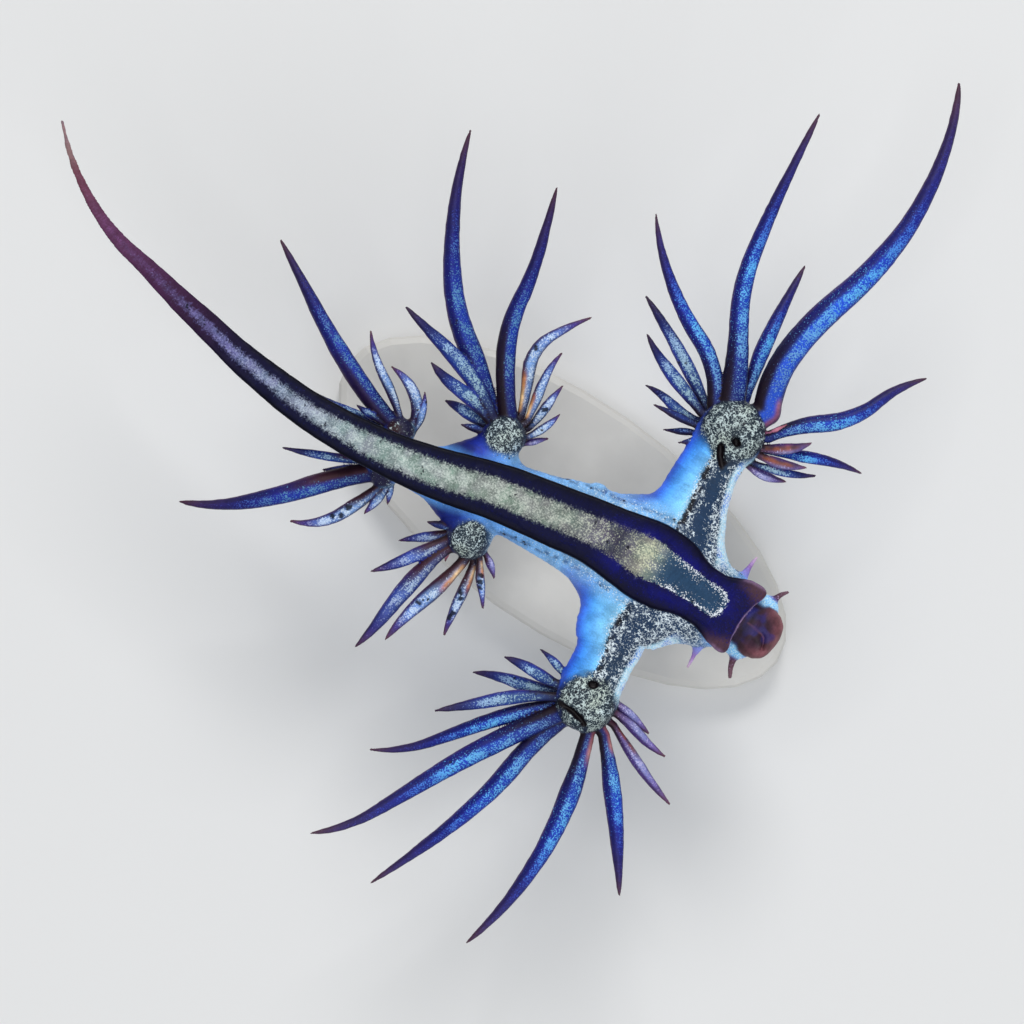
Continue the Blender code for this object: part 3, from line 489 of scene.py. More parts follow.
def ceras_line(arm_name, letter, row):
    """The line of one ceras, following its headings, with its height and width."""
    angle, reach, length, width, headings, layer, rise, face = row
    arm = ARMS[arm_name]
    hub = np.array(arm["hub"])
    steps = int(max(8, min(40, length * 2.6)))
    fine = 8
    t = (np.arange(steps * fine) + 0.5) / (steps * fine)
    heading = np.radians(np.interp(t * (len(headings) - 1), range(len(headings)), headings))
    stride = length / (steps * fine) * np.stack([np.cos(heading), np.sin(heading)], 1)
    start = hub + reach * np.array([math.cos(math.radians(angle)), math.sin(math.radians(angle))])
    curve = np.concatenate([[start], (start + np.cumsum(stride, axis=0))[fine - 1 :: fine]])
    inner = 0.45 * (hub - start)
    points = np.concatenate([[start + inner, start + 0.4 * inner], curve])
    ts = np.linspace(0, 1, steps + 1)
    bow = 0.25 * np.sin(math.pi * ts) * (1 if rise < 0 else -1) * min(1.0, length / 8)
    z0 = arm["z"] + layer
    heights = np.concatenate([[z0 - layer * 0.4, z0 - layer * 0.1], z0 + rise * ts * ts * (3 - 2 * ts) + bow])
    ts = np.concatenate([[0, 0], ts])
    root = BROAD_ROOTS.get((arm_name, letter), ROOT_WIDTH)
    # the long ones taper from low down, the short ones are leaf-shaped
    slim = min(max((length - 5.0) / 5.0, 0.0), 1.0)
    widest = 0.40 + (WIDEST_AT - 0.40) * slim
    u = np.clip(ts / widest, 0, 1)
    v = np.clip((ts - widest) / (1 - widest), 0, 1)
    part = np.where(ts < widest, root + (1 - root) * u * u * (3 - 2 * u), 1 - 0.80 * v ** (1.75 - 0.42 * slim))
    part = part * np.sqrt(np.clip(1 - ((ts - 0.92) / 0.092).clip(0, 1) ** 2, 0.04, 1))
    half = np.maximum(width / 2 * part, 0.052)
    flat = np.interp(ts, [0, 0.3, 1], [0.84, 0.86, 0.96])
    line = Sweep(points, a=half, b=half * flat, z=heights, t=ts)
    return line


cerata = []
for arm_name, rows in CERATA.items():
    for letter, row in rows.items():
        cerata.append((arm_name, letter, row, ceras_line(arm_name, letter, row)))
feelers = []
for feeler_name, (plan, zs, widths) in FEELERS.items():
    fine = np.linspace(0, 3, 13)
    cols = [monotone(list(zip(range(4), [p[c] for p in plan])))(fine) for c in range(2)]
    w = np.interp(fine, range(4), widths) / 2
    feelers.append((feeler_name, Sweep(np.stack(cols, 1), a=w, b=w * 0.92, z=np.linspace(zs[0], zs[1], 13), t=fine / 3)))
dents = [Sweep(points, a=[r] * len(points)) for points, r in DENTS]
crease = Sweep(MOUTH_CREASE, a=[0.1] * len(MOUTH_CREASE))


# ---------------------------------------------------------------- the field
low = np.array([1e9, 1e9])
high = -low
for _, _, _, line in cerata:
    a, b = line.reach()
    low, high = np.minimum(low, a), np.maximum(high, b)
low = np.append(np.minimum(low, (-24.9, -3.0)) - 0.3, -3.75)
high = np.append(np.maximum(high, (14.7, 3.0)) + 0.3, 0.75)
size = np.ceil((high - low) / VOXEL).astype(int) + 1
axes = [low[k] + VOXEL * np.arange(size[k]) for k in range(3)]
FAR = 9.0
trunk = np.full(size, FAR, np.float32)
fringe = np.full(size, FAR, np.float32)
sole = np.full(size, FAR, np.float32)


def window(lo, hi, margin=0.45):
    """Index ranges of the grid's part within a box."""
    first = np.clip(np.floor((np.array(lo) - margin - low[: len(lo)]) / VOXEL).astype(int), 0, None)
    last = np.ceil((np.array(hi) + margin - low[: len(hi)]) / VOXEL).astype(int) + 1
    return [slice(a, min(b, n)) for a, b, n in zip(first, last, size)]


def add(grid, lo, hi, columns_of, field, k):
    """Joins a shape to the grid. columns_of picks the columns it can reach, field gives its distance there."""
    sx, sy, sz = window(lo, hi)
    gx, gy = np.meshgrid(axes[0][sx], axes[1][sy], indexing="ij")
    data, near = columns_of(gx, gy)
    ix, iy = np.nonzero(near)
    if not len(ix):
        return
    picked = [d[ix, iy][:, None] for d in data]
    x, y = gx[ix, iy][:, None], gy[ix, iy][:, None]
    z = axes[2][sz][None, :]
    new = field(x, y, z, *picked).astype(np.float32)
    old = grid[ix + sx.start, iy + sy.start, sz]
    grid[ix + sx.start, iy + sy.start, sz] = np.minimum(old, new) if k == 0 else smooth_min(old, new, k)


def line_columns(line, wide="a", extra=0.5):
    def columns(gx, gy):
        place, u = line.nearest(gx, gy)
        return (place, u), np.abs(u) < line.at(wide, place) + extra

    return columns


def body_columns(gx, gy):
    place, u = body_line.nearest(gx, gy)
    wide = np.maximum(body_line.at("left", place), body_line.at("right", place))
    return (place, u), np.abs(u) < np.maximum(wide, body_line.at("half", place)) + 0.8


def anywhere(gx, gy):
    return (), np.ones(gx.shape, bool)


lo2, hi2 = body_line.reach()
body_box = ((*lo2, -3.6), (*hi2, 0.6))
add(trunk, *body_box, body_columns, flank_field, 0)
add(sole, *body_box, body_columns, foot_field, 0)
for name, arm in ARMS.items():
    lo2, hi2 = arm_lines[name].reach()
    box = ((*lo2, arm["z"] - 1.1), (*hi2, arm["z"] + 1.1))
    add(trunk, *box, line_columns(arm_lines[name], extra=0.9), lambda x, y, z, place, u: arm_field(name, z, place, u), 0.90 if name.startswith("front") else 0.5 if name.startswith("middle") else 0.3)
    hub, r = np.array(arm["hub"]), arm["radius"]
    add(trunk, (*(hub - r), arm["z"] - 1.2), (*(hub + r), arm["z"] + 1.2), anywhere, lambda x, y, z: pad_field(name, x, y, z), 0.45)
for shape, k in [(SKULL, 0.4), (CHEEKS[0], 0.3), (CHEEKS[1], 0.3), (PAPILLA, 0.25)]:
    c, r = np.array(shape[:3]), np.array(shape[3:])
    add(trunk, c - r, c + r, anywhere, lambda x, y, z: ellipsoid(np.stack(np.broadcast_arrays(x, y, z), -1), shape), k)
for name, line in feelers:
    lo2, hi2 = line.reach()
    zs = line.sections["z"]
    add(trunk, (*lo2, zs.min() - 0.4), (*hi2, zs.max() + 0.4), line_columns(line), lambda x, y, z, place, u: ellipse(u, z - line.at("z", place), line.at("a", place), line.at("b", place)), 0.16)


def mouth_field(x, y, z):
    p = np.stack(np.broadcast_arrays(x, y, z), -1)
    c, r = np.array(MOUTH[:3]), np.array(MOUTH[3:])
    q = np.abs((p - c) / r)
    round_off = (q[..., 0] ** 2.5 + q[..., 1] ** 2.5) ** (2 / 2.5) + q[..., 2] ** 2
    d = (np.sqrt(round_off) - 1) * 0.85
    place, u = crease.nearest(x[:, 0], y[:, 0])
    groove = 0.16 * np.exp(-((u / 0.075) ** 2))
    # a lip stands up on each side of the groove
    lips = 0.05 * np.exp(-(((np.abs(u) - 0.28) / 0.16) ** 2))
    top = smooth(-1.1, -0.6, z)
    return d + (groove - lips)[:, None] * top


c, r = np.array(MOUTH[:3]), np.array(MOUTH[3:])
add(trunk, c - r, c + r, anywhere, mouth_field, 0.07)

ceras_number = np.full(size, -1, np.int16)
for number, (_, _, row, line) in enumerate(cerata):
    lo2, hi2 = line.reach()
    zs, bs = line.sections["z"], line.sections["b"]
    sx, sy, sz = window((*lo2, zs.min() - bs.max()), (*hi2, zs.max() + bs.max()), 0.3)
    gx, gy = np.meshgrid(axes[0][sx], axes[1][sy], indexing="ij")
    place, u = line.nearest(gx, gy)
    ix, iy = np.nonzero(np.abs(u) < line.at("a", place) + 0.32)
    place, u = place[ix, iy][:, None], u[ix, iy][:, None]
    z = axes[2][sz][None, :]
    new = ellipse(u, z - line.at("z", place), line.at("a", place), line.at("b", place)).astype(np.float32)
    at = (ix + sx.start, iy + sy.start, sz)
    old = fringe[at]
    ceras_number[at] = np.where(new < old, number, ceras_number[at])
    fringe[at] = smooth_min(old, new, 0.025)

# the gaps between roots run a little way into the pads
whole = smooth_min(trunk, fringe, 0.16)
whole = smooth_min(whole, sole, 0.045)
for dent in dents:
    lo2, hi2 = dent.reach()
    sx, sy, sz = window((*lo2, -1.9), (*hi2, 0.3), 0.1)
    gx, gy = np.meshgrid(axes[0][sx], axes[1][sy], indexing="ij")
    place, u = dent.nearest(gx, gy)
    r = dent.at("a", place)
    z = axes[2][sz][None, None, :]
    hole = np.sqrt((u / r)[:, :, None] ** 2 + ((z + 0.50) / 0.34) ** 2) - 1
    hole = hole * r[:, :, None]
    whole[sx, sy, sz] = -smooth_min(-whole[sx, sy, sz], hole.astype(np.float32), 0.06)


# ---------------------------------------------------------------- the surface
def surface(field):
    """Vertices and quads of the field's zero level, one vertex to a crossed cell."""
    inside = field < 0
    n = [k - 1 for k in field.shape]
    count = np.zeros(n, np.uint8)
    corner = [(i, j, k) for i in (0, 1) for j in (0, 1) for k in (0, 1)]
    for i, j, k in corner:
        count += inside[i : i + n[0], j : j + n[1], k : k + n[2]]
    cell = np.argwhere((count > 0) & (count < 8))
    number = np.full(n, -1, np.int32)
    number[tuple(cell.T)] = np.arange(len(cell))
    total = np.zeros((len(cell), 3))
    hits = np.zeros(len(cell))
    for a in corner:
        for axis in range(3):
            if a[axis]:
                continue
            b = list(a)
            b[axis] = 1
            fa = field[cell[:, 0] + a[0], cell[:, 1] + a[1], cell[:, 2] + a[2]].astype(float)
            fb = field[cell[:, 0] + b[0], cell[:, 1] + b[1], cell[:, 2] + b[2]].astype(float)
            crossed = (fa < 0) != (fb < 0)
            t = np.where(crossed, fa / np.where(crossed, fa - fb, 1), 0)
            place = np.array(a, float) + np.outer(t, [axis == 0, axis == 1, axis == 2])
            total += place * crossed[:, None]
            hits += crossed
    points = cell + total / hits[:, None]
    quads = []
    for axis in range(3):
        one = np.array([axis == 0, axis == 1, axis == 2], int)
        a = inside[: -1 if axis == 0 else None, : -1 if axis == 1 else None, : -1 if axis == 2 else None]
        b = inside[1 if axis == 0 else 0 :, 1 if axis == 1 else 0 :, 1 if axis == 2 else 0 :]
        edge = np.argwhere(a != b)
        p, q = (axis + 1) % 3, (axis + 2) % 3
        edge = edge[(edge[:, p] > 0) & (edge[:, q] > 0) & (edge[:, p] < n[p]) & (edge[:, q] < n[q])]
        dp = np.array([p == 0, p == 1, p == 2], int)
        dq = np.array([q == 0, q == 1, q == 2], int)
        around = [edge - dp - dq, edge - dq, edge, edge - dp]
        quad = np.stack([number[tuple(c.T)] for c in around], 1)
        turned = inside[tuple(edge.T)]
        quad = np.where(turned[:, None], quad, quad[:, ::-1])
        quads.append(quad)
    quads = np.concatenate(quads)
    return points, quads[(quads >= 0).all(1)]


def sample(grid, points):
    """Value and gradient of the grid between its points."""
    i = np.clip(np.floor(points).astype(int), 0, np.array(grid.shape) - 2)
    f = points - i
    c = {}
    for a in (0, 1):
        for b in (0, 1):
            for d in (0, 1):
                c[a, b, d] = grid[i[:, 0] + a, i[:, 1] + b, i[:, 2] + d].astype(float)
    x, y, z = f.T

    def across(key, s, t):
        return (key(0, 0) * (1 - s) + key(1, 0) * s) * (1 - t) + (key(0, 1) * (1 - s) + key(1, 1) * s) * t

    x0 = across(lambda a, b: c[0, a, b], y, z)
    x1 = across(lambda a, b: c[1, a, b], y, z)
    y0 = across(lambda a, b: c[a, 0, b], x, z)
    y1 = across(lambda a, b: c[a, 1, b], x, z)
    z0 = across(lambda a, b: c[a, b, 0], x, y)
    z1 = across(lambda a, b: c[a, b, 1], x, y)
    return x0 * (1 - x) + x1 * x, np.stack([x1 - x0, y1 - y0, z1 - z0], 1) / VOXEL


def main_piece(points, quads):
    """Only the largest connected piece, without loose crumbs."""
    label = np.arange(len(points))
    pairs = np.concatenate([quads[:, [0, 1]], quads[:, [1, 2]], quads[:, [2, 3]]])
    while True:
        least = np.minimum(label[pairs[:, 0]], label[pairs[:, 1]])
        new = label.copy()
        np.minimum.at(new, pairs[:, 0], least)
        np.minimum.at(new, pairs[:, 1], least)
        new = new[new]
        new = new[new]
        if (new == label).all():
            break
        label = new
    keep = label == np.bincount(label).argmax()
    number = np.cumsum(keep) - 1
    print("loose vertices left out:", int((~keep).sum()))
    return points[keep], number[quads[keep[quads[:, 0]]]]


net, quads = main_piece(*surface(whole))
for _ in range(2):
    value, slope = sample(whole, net)
    steep = (slope**2).sum(1)
    net -= (np.clip(value / np.maximum(steep, 0.3), -0.05, 0.05)[:, None] * slope) / VOXEL
_, slope = sample(whole, net)
normal = slope / np.maximum(np.linalg.norm(slope, axis=1), 1e-6)[:, None]
point = low + net * VOXEL  # layout millimetres
here = tuple(np.clip(np.round(net).astype(int), 0, size - 1).T)
number = ceras_number[here]
# a vertex may sit nearer a neighbouring cell that knows its ceras
for shift in [(1, 0, 0), (-1, 0, 0), (0, 1, 0), (0, -1, 0), (0, 0, 1), (0, 0, -1)]:
    there = tuple(np.clip(np.round(net).astype(int) + shift, 0, size - 1).T)
    number = np.where(number < 0, ceras_number[there], number)
field_trunk, _ = sample(trunk, net)
field_fringe, _ = sample(fringe, net)
field_sole, _ = sample(sole, net)
del trunk, fringe, sole, whole, ceras_number

# ---------------------------------------------------------------- where each vertex is
n_points = len(point)
x, y, z = point.T
up = normal[:, 2]
near_body = (field_sole < 0.6) | ((np.abs(y - foot_middle(x)) < 5) & (x > -25))
body_place = np.zeros(n_points)
body_u = np.full(n_points, 9.0)
body_place[near_body], body_u[near_body] = body_line.nearest(x[near_body], y[near_body])
body_x = body_line.at("x", body_place)
body_half = body_line.at("half", body_place)


def weight(own, others, width):
    """How far a vertex belongs to the shape with field own, against the others."""
    return smooth(-width, width, np.minimum.reduce(others) - own)


is_sole = weight(field_sole, [field_trunk, field_fringe], 0.03)
is_ceras = weight(field_fringe, [field_trunk], 0.07) * (1 - is_sole)
is_ceras = np.where(number >= 0, is_ceras, 0)

flank = np.full(n_points, 9.0)
flank[near_body] = flank_field(x[near_body], y[near_body], z[near_body], body_place[near_body], body_u[near_body])
pads, webs, web_place, web_u = {}, {}, {}, {}
for name, arm in ARMS.items():
    pads[name] = pad_field(name, x, y, z)
    line = arm_lines[name]
    lo2, hi2 = line.reach()
    close = (x > lo2[0] - 1.4) & (x < hi2[0] + 1.4) & (y > lo2[1] - 0.6) & (y < hi2[1] + 0.6)
    webs[name], web_place[name], web_u[name] = np.full(n_points, 9.0), np.zeros(n_points), np.full(n_points, 9.0)
    if close.any():
        pl, u = line.nearest(x[close], y[close])
        web_place[name][close], web_u[name][close] = pl, u
        webs[name][close] = arm_field(name, z[close], pl, u)
skull = np.minimum.reduce([ellipsoid(point, s) for s in (SKULL, *CHEEKS)])
mouth = ellipsoid(point, MOUTH)
feel, feel_t = np.full(n_points, 9.0), np.zeros(n_points)
feel_kind = np.zeros(n_points, int)
for k, (name, line) in enumerate(feelers):
    lo2, hi2 = line.reach()
    close = (x > lo2[0] - 0.4) & (x < hi2[0] + 0.4) & (y > lo2[1] - 0.4) & (y < hi2[1] + 0.4)
    if not close.any():
        continue
    pl, u = line.nearest(x[close], y[close])
    d = ellipse(u, z[close] - line.at("z", pl), line.at("a", pl), line.at("b", pl))
    own = np.full(n_points, 9.0)
    own[close] = d
    take = own < feel
    t = np.zeros(n_points)
    t[close] = line.at("t", pl)
    feel_t = np.where(take, t, feel_t)
    feel_kind = np.where(take, k, feel_kind)
    feel = np.minimum(feel, own)

# ---------------------------------------------------------------- markings
# tone: the skin's colour, over: what lies over it where edge > 0, with a ragged border,
# fleck: colour of the bright granules, amount: how many of them, speck: dark dots,
# weave: how far the granules join into a net
tone = np.tile(linear(120, 150, 190), (n_points, 1))
over = tone.copy()
edge = np.full(n_points, -1.0)
ragged = np.zeros(n_points)
fleck = np.tile(linear(200, 220, 240), (n_points, 1))
amount = np.zeros(n_points)
speck = np.zeros(n_points)
coarse = np.full(n_points, 0.5)
gentle = np.full(n_points, 0.2)
weave = np.zeros(n_points)
flow = np.zeros((n_points, 3))
blotch = value_noise(point, 0.55, 3)
cloud = value_noise(point, 1.6, 4)


def lay(mask, **layers):
    """Blends the given layers in by the mask."""
    target = dict(tone=tone, over=over, edge=edge, ragged=ragged, fleck=fleck, amount=amount, speck=speck, coarse=coarse, gentle=gentle, flow=flow, weave=weave)
    for key, value in layers.items():
        t = target[key]
        t[...] = mix(t, np.asarray(value, float), mask)


# flank, the band of pale skin beside the sole, silvery underneath
below = smooth(0.15, -0.75, up)
flank_tone = ramp(body_x, [
    (-24, (70, 62, 92)), (-16, (40, 42, 82)), (-9, (34, 60, 130)), (-5, (40, 92, 190)), (-2, (84, 150, 228)),
    (1, (104, 166, 238)), (3, (122, 182, 242)), (5, (136, 192, 244)), (7, (128, 188, 244)), (9, (122, 180, 240)), (11, (110, 170, 238)), (13, (104, 160, 235)),
])
flank_tone = flank_tone * mix(0.84, 1.10, smooth(0.25, 0.75, value_noise(point, 2.2, 15)))[:, None]
back_tone = ramp(body_x, [(-24, (112, 112, 132)), (-12, (112, 124, 150)), (-4, (128, 146, 172)), (8, (140, 158, 182)), (13, (126, 150, 184))])
flank_tone = mix(flank_tone, back_tone, below)
lay(np.ones(n_points), tone=flank_tone, over=flank_tone, fleck=linear(196, 226, 250),
    amount=0.20 * smooth(-6, 4, body_x) * (1 - below) + 0.16 * below, coarse=0.08,
    flow=np.stack([body_line.mm(body_place), body_u, np.full(n_points, 3.0)], 1))
# a broken line of dark dots runs along the flank
dash = np.exp(-(((np.abs(body_u) - body_half - 0.30) / 0.10) ** 2)) * smooth(-3, 1, body_x) * (1 - below)
lay(np.clip(dash, 0, 1), speck=0.46)
grey_line = dash * smooth(0.35, 0.6, value_noise(point, 4.5, 16))
lay(np.clip(0.75 * grey_line, 0, 1), tone=linear(40, 72, 120), over=linear(40, 72, 120))
lay(smooth(-5, -3.5, body_x) * smooth(0.9, 0.2, np.abs(body_u) - body_half) * smooth(10.5, 8.8, body_x) * smooth(2.0, 6.0, body_x) * (1 - below),
    fleck=linear(222, 240, 250), amount=0.30, weave=0.35)

past = np.abs(body_u) - body_half
beside = smooth(7.4, 8.4, body_x) * smooth(11.5, 10.9, body_x) * (1 - below)
outer = smooth(0.30, 0.62, past / np.maximum(np.where(body_u > 0, flank_right(body_x), flank_left(body_x)), 0.3))
beside_tone = mix(linear(40, 66, 100), linear(100, 158, 226), smooth(9.6, 10.9, body_x) * outer)
lay(beside, tone=beside_tone, over=beside_tone, fleck=linear(214, 232, 244), amount=0.34, speck=0.10, coarse=0.10, gentle=0.12, weave=0.95)
front_rim = beside * smooth(9.8, 10.6, body_x) * smooth(0.45, 0.85, past / np.maximum(np.where(body_u > 0, flank_right(body_x), flank_left(body_x)), 0.3))
lay(front_rim, tone=linear(134, 190, 244), fleck=linear(216, 236, 250), amount=0.36, speck=0.12, coarse=0.10, weave=0.3)

# arms: azure rear band, slate middle with a white net, pale front edge
for name, arm in ARMS.items():
    half = arm_lines[name].at("a", web_place[name])
    r = np.clip(web_u[name] / half * (1 if arm["side"] > 0 else -1), -1.2, 1.2)
    same_side = np.sign(y - foot_middle(x)) == arm["side"]
    out_past = np.abs(body_u) - body_half
    if name.startswith("front"):
        ahead = smooth(0.35, -0.05, r)  # the slate half reaches to the sole, the azure half fades into the flank
        w = smooth(-0.05 - 0.30 * ahead, 1.25 - 1.0 * ahead, out_past + 0.25 * (cloud - 0.5)) * smooth(1.9, 1.0, np.abs(web_u[name]) / half) * same_side * (webs[name] < 1.2)
    else:
        w = weight(webs[name], [flank + 0.12], 0.30) * (webs[name] < 0.8) * same_side
    out = arm_lines[name].mm(web_place[name])
    total = arm_lines[name].along[-1]
    s = np.clip(out / total, 0, 1)
    if name.startswith("front"):
        azure = ramp(r, [(0.05, (150, 212, 250)), (0.35, (124, 200, 252)), (0.7, (84, 166, 250)), (0.92, (58, 112, 232)), (1.1, (60, 90, 205))])
        azure = mix(azure, azure * np.array([0.55, 0.75, 0.97]), smooth(0.45, 0.95, s))
        azure = mix(flank_tone, azure, smooth(0.0, 0.30, s))
        azure = azure * mix(0.84, 1.12, smooth(0.25, 0.75, value_noise(point, 2.0, 17)))[:, None]
        rim = smooth(0.40, 0.18, (1 + r) * half) * smooth(0.10, 0.30, s)
        slate = mix(ramp(s, [(0, (32, 58, 90)), (0.5, (28, 52, 82)), (1, (32, 54, 78))]),
                    mix(linear(92, 148, 236), linear(168, 222, 250), smooth(0.25, 0.6, value_noise(point, 1.9, 34))), rim)
        clear = np.exp(-(((r + 0.38 + 0.16 * (cloud - 0.5)) / 0.20) ** 2)) * smooth(0.10, 0.30, s) * smooth(1.02, 0.88, s)
        net = 0.37 - (0.35 if arm["side"] > 0 else 0.21) * clear
        # dark blots where the azure meets the net
        blots = np.exp(-(((r - 0.03) * half / 0.17) ** 2)) * smooth(0.48, 0.60, value_noise(point, 3.2, 18)) * smooth(0.15, 0.35, s) * smooth(1.0, 0.9, s) * (1 - below)
        slate = mix(slate, linear(5, 8, 18), blots)
        azure = mix(azure, linear(5, 8, 18), blots)
        # a silvery underside
        under = mix(linear(150, 170, 200), linear(108, 140, 190), np.clip(cloud, 0, 1))
        slate, azure = mix(slate, under, below), mix(azure, under, below)
        edge[w > 0.01] = ((r - 0.10) * half)[w > 0.01]
        lay(w, tone=slate, over=azure, ragged=0.16, fleck=linear(226, 240, 248),
            amount=mix(np.where(r > 0.10, 0.36 * smooth(0.34, 0.12, r), mix(net, 0.54, rim)) * (1 - 0.85 * blots), 0.2, below),
            speck=(1 - below) * (0.50 * np.exp(-(((r - 0.05) * half / 0.10) ** 2)) + 0.14 * rim),
            weave=(1 - below) * np.where(r > 0.10, 0.5 * smooth(0.30, 0.10, r), 0.95 - 0.65 * rim), coarse=0.08, gentle=0.12, flow=np.stack([out, r * half, np.full(n_points, 5.0)], 1))
    else:
        azure = ramp(r, [(-1, (128, 184, 238)), (-0.2, (80, 138, 226)), (0.35, (22, 54, 168)), (1, (11, 20, 104))])
        azure = azure * mix(0.72, 1.15, smooth(0.3, 0.7, value_noise(point, 1.8, 29)))[:, None]
        azure = mix(azure, linear(128, 148, 180), below)
        apron = smooth(0.42, 0.08, pads[name]) * smooth(0.75, 0.3, r) * (1 - below)
        azure = mix(azure, linear(64, 92, 120), 0.75 * apron)
        lay(w, tone=azure, over=azure, fleck=linear(200, 226, 244), amount=mix(0.16 * smooth(0.3, -0.4, r) * (1 - below), 0.50, apron),
            coarse=0.25, flow=np.stack([out, r * half, np.full(n_points, 6.0)], 1))

# pads: white granules over a dark ground, with painted shade at the rim where the cerata leave: the ground darker and
# the granules fewer there
for name, arm in ARMS.items():
    rho = np.hypot(x - arm["hub"][0], y - arm["hub"][1]) / arm["radius"]
    ragged_rho = rho + 0.30 * (value_noise(point, 2.4, 19) - 0.5)
    w = np.maximum(weight(pads[name], [webs[name] + 0.06, flank + 0.05], 0.30), smooth(1.12, 0.86, ragged_rho)) * (pads[name] < 0.5)
    w = w * smooth(1.30, 0.98, ragged_rho)
    small = name.startswith("rear")
    # painted shade: the ground darkens toward the rim among the roots of the cerata
    ground = mix(linear(30, 44, 56), linear(24, 32, 54), smooth(0.80, 1.10, ragged_rho))
    if small:
        ground = mix(linear(44, 22, 30), linear(28, 26, 58), smooth(0.35, 0.65, cloud))
    pad_under = mix(linear(120, 138, 168), linear(80, 100, 142), cloud)
    ground = mix(ground, pad_under, below)
    tufts = value_noise(point, 1.5, 20)
    grains = mix(0.27 + 0.16 * tufts - 0.20 * smooth(0.80, 1.10, ragged_rho), 0.22, below)
    lay(w, tone=ground, over=ground, fleck=mix(linear(200, 220, 230), linear(208, 224, 212), tufts), amount=grains * (0.35 if small else 1),
        speck=0.20, coarse=0.15, gentle=0.15, weave=(1.0 - 0.25 * tufts) * (1 - below), flow=np.stack([x, y, np.full(n_points, 8.0)], 1))
# painted shade: the dents are painted near black, the shade inside their hollows
for line in dents:
    place_d, u_d = line.nearest(x, y)
    w = smooth(1.5, 0.6, np.abs(u_d) / line.at("a", place_d) + 0.9 * (value_noise(point, 5.0, 31) - 0.5)) * smooth(-1.2, -0.9, z) * (up > -0.3)
    lay(w, tone=linear(16, 9, 14), over=linear(16, 9, 14), amount=0.0, speck=0.0)

# head: pale sides, a maroon mouth
cheek = np.maximum(smooth(0.86, 1.12, np.abs(y - 0.68)), smooth(12.9, 11.9, x)) * (1 - below) + below
head_tone = mix(linear(130, 196, 246), linear(70, 110, 224), smooth(0.45, 0.8, cloud))
head_tone = mix(mix(linear(58, 30, 46), linear(50, 40, 110), smooth(0.45, 0.7, cloud)), head_tone, cheek)
lay(smooth(0.15, -0.12, skull - np.minimum(flank, 9)) * smooth(11.6, 12.3, x) * (1 - below * 0.6), tone=head_tone,
    over=head_tone, fleck=linear(206, 238, 252), amount=0.44 * cheek, speck=0.10 * cheek, coarse=0.10, weave=0.35 * cheek)
under_lip = smooth(1.22, 0.92, np.abs(y - 0.68)) * smooth(12.2, 12.5, x) * smooth(-0.1, 0.3, up)
throat = mix(linear(38, 22, 50), linear(40, 40, 120), smooth(0.40, 0.65, cloud))
lay(under_lip, tone=throat, over=throat, amount=0.0, speck=0.0)
is_mouth = weight(mouth, [skull + 0.0], 0.06) * smooth(12.2, 12.5, x)
place_c, u_c = crease.nearest(x, y)
mouth_rho = np.hypot((x - MOUTH[0]) / MOUTH[3], (y - MOUTH[1]) / MOUTH[4])
lumps = value_noise(point, 2.6, 24)
maroon = mix(linear(54, 32, 48), linear(118, 70, 78), smooth(0.45, 1.0, mouth_rho) * smooth(12.9, 13.9, x))
maroon = maroon * mix(0.72, 1.22, smooth(0.3, 0.7, lumps))[:, None]
maroon = mix(maroon, linear(44, 42, 112), 0.62 * smooth(0.46, 0.66, 0.5 * cloud + 0.5 * value_noise(point, 3.4, 32)) * smooth(1.1, 0.6, mouth_rho))
# painted shade: the mouth is painted darker towards the front flap of the foot, which overhangs it
maroon = mix(maroon, linear(20, 11, 22), smooth(13.3, 12.6, x) * 0.85)
maroon = mix(maroon, linear(136, 84, 96), 0.40 * np.exp(-((u_c / 0.03) ** 2)) * (up > 0))
maroon = mix(maroon, linear(150, 118, 140), smooth(-0.2, -0.8, up))
lay(is_mouth, tone=maroon, over=maroon, fleck=linear(120, 84, 120), amount=0.0, speck=0.0, coarse=0.0, gentle=0.9, weave=0.0,
    flow=np.stack([x, y, np.full(n_points, 9.0)], 1))
is_feeler = weight(feel, [skull, flank], 0.10) * (feel_t > 0.12)
oral = ramp(feel_t, [(0, (96, 126, 224)), (0.25, (88, 76, 150)), (0.5, (78, 46, 62)), (1, (104, 74, 86))])
rhino = ramp(feel_t, [(0, (120, 170, 240)), (0.4, (140, 150, 232)), (0.7, (150, 112, 186)), (1, (196, 170, 196))])
lay(is_feeler, tone=np.where((feel_kind < 2)[:, None], oral, rhino), over=np.where((feel_kind < 2)[:, None], oral, rhino), fleck=linear(190, 160, 200), amount=0.10, speck=0.0, coarse=0.0, gentle=0.9, weave=0.0)

# sole: navy bands, a pale ragged stripe, a slate patch with a white speckled border
stripe_half = monotone([
    (-24.5, 0.02), (-21, 0.09), (-18, 0.14), (-14.5, 0.19), (-8.9, 0.29), (-4, 0.53), (0.6, 0.58), (3.4, 0.58), (5.3, 0.66),
    (6.3, 0.76), (7.3, 0.90), (8.0, 0.86), (8.8, 0.74), (9.8, 0.66), (11.0, 0.62), (13, 0.6),
])
stripe_off = monotone([(-25, 0.0), (-4, 0.0), (4, 0.02), (8, 0.10), (11.5, 0.06), (13, 0.0)])
half_now = stripe_half(body_x)
in_stripe = half_now - np.abs(body_u - stripe_off(body_x))
end = 11.55 - body_x
in_stripe = np.where(end < 1.0, 0.5 - smooth_min(0.5 - 0, 0.5 - 0, 0.1) + np.minimum(in_stripe, end) - 0.12 * smooth(0.35, 0.0, np.abs(in_stripe - end)), in_stripe)
in_stripe = np.minimum(in_stripe, np.where(up > 0.1, 9, -0.2))
rim_at = np.clip(np.abs(body_u) / np.maximum(body_half, 0.05), 0, 1.2)
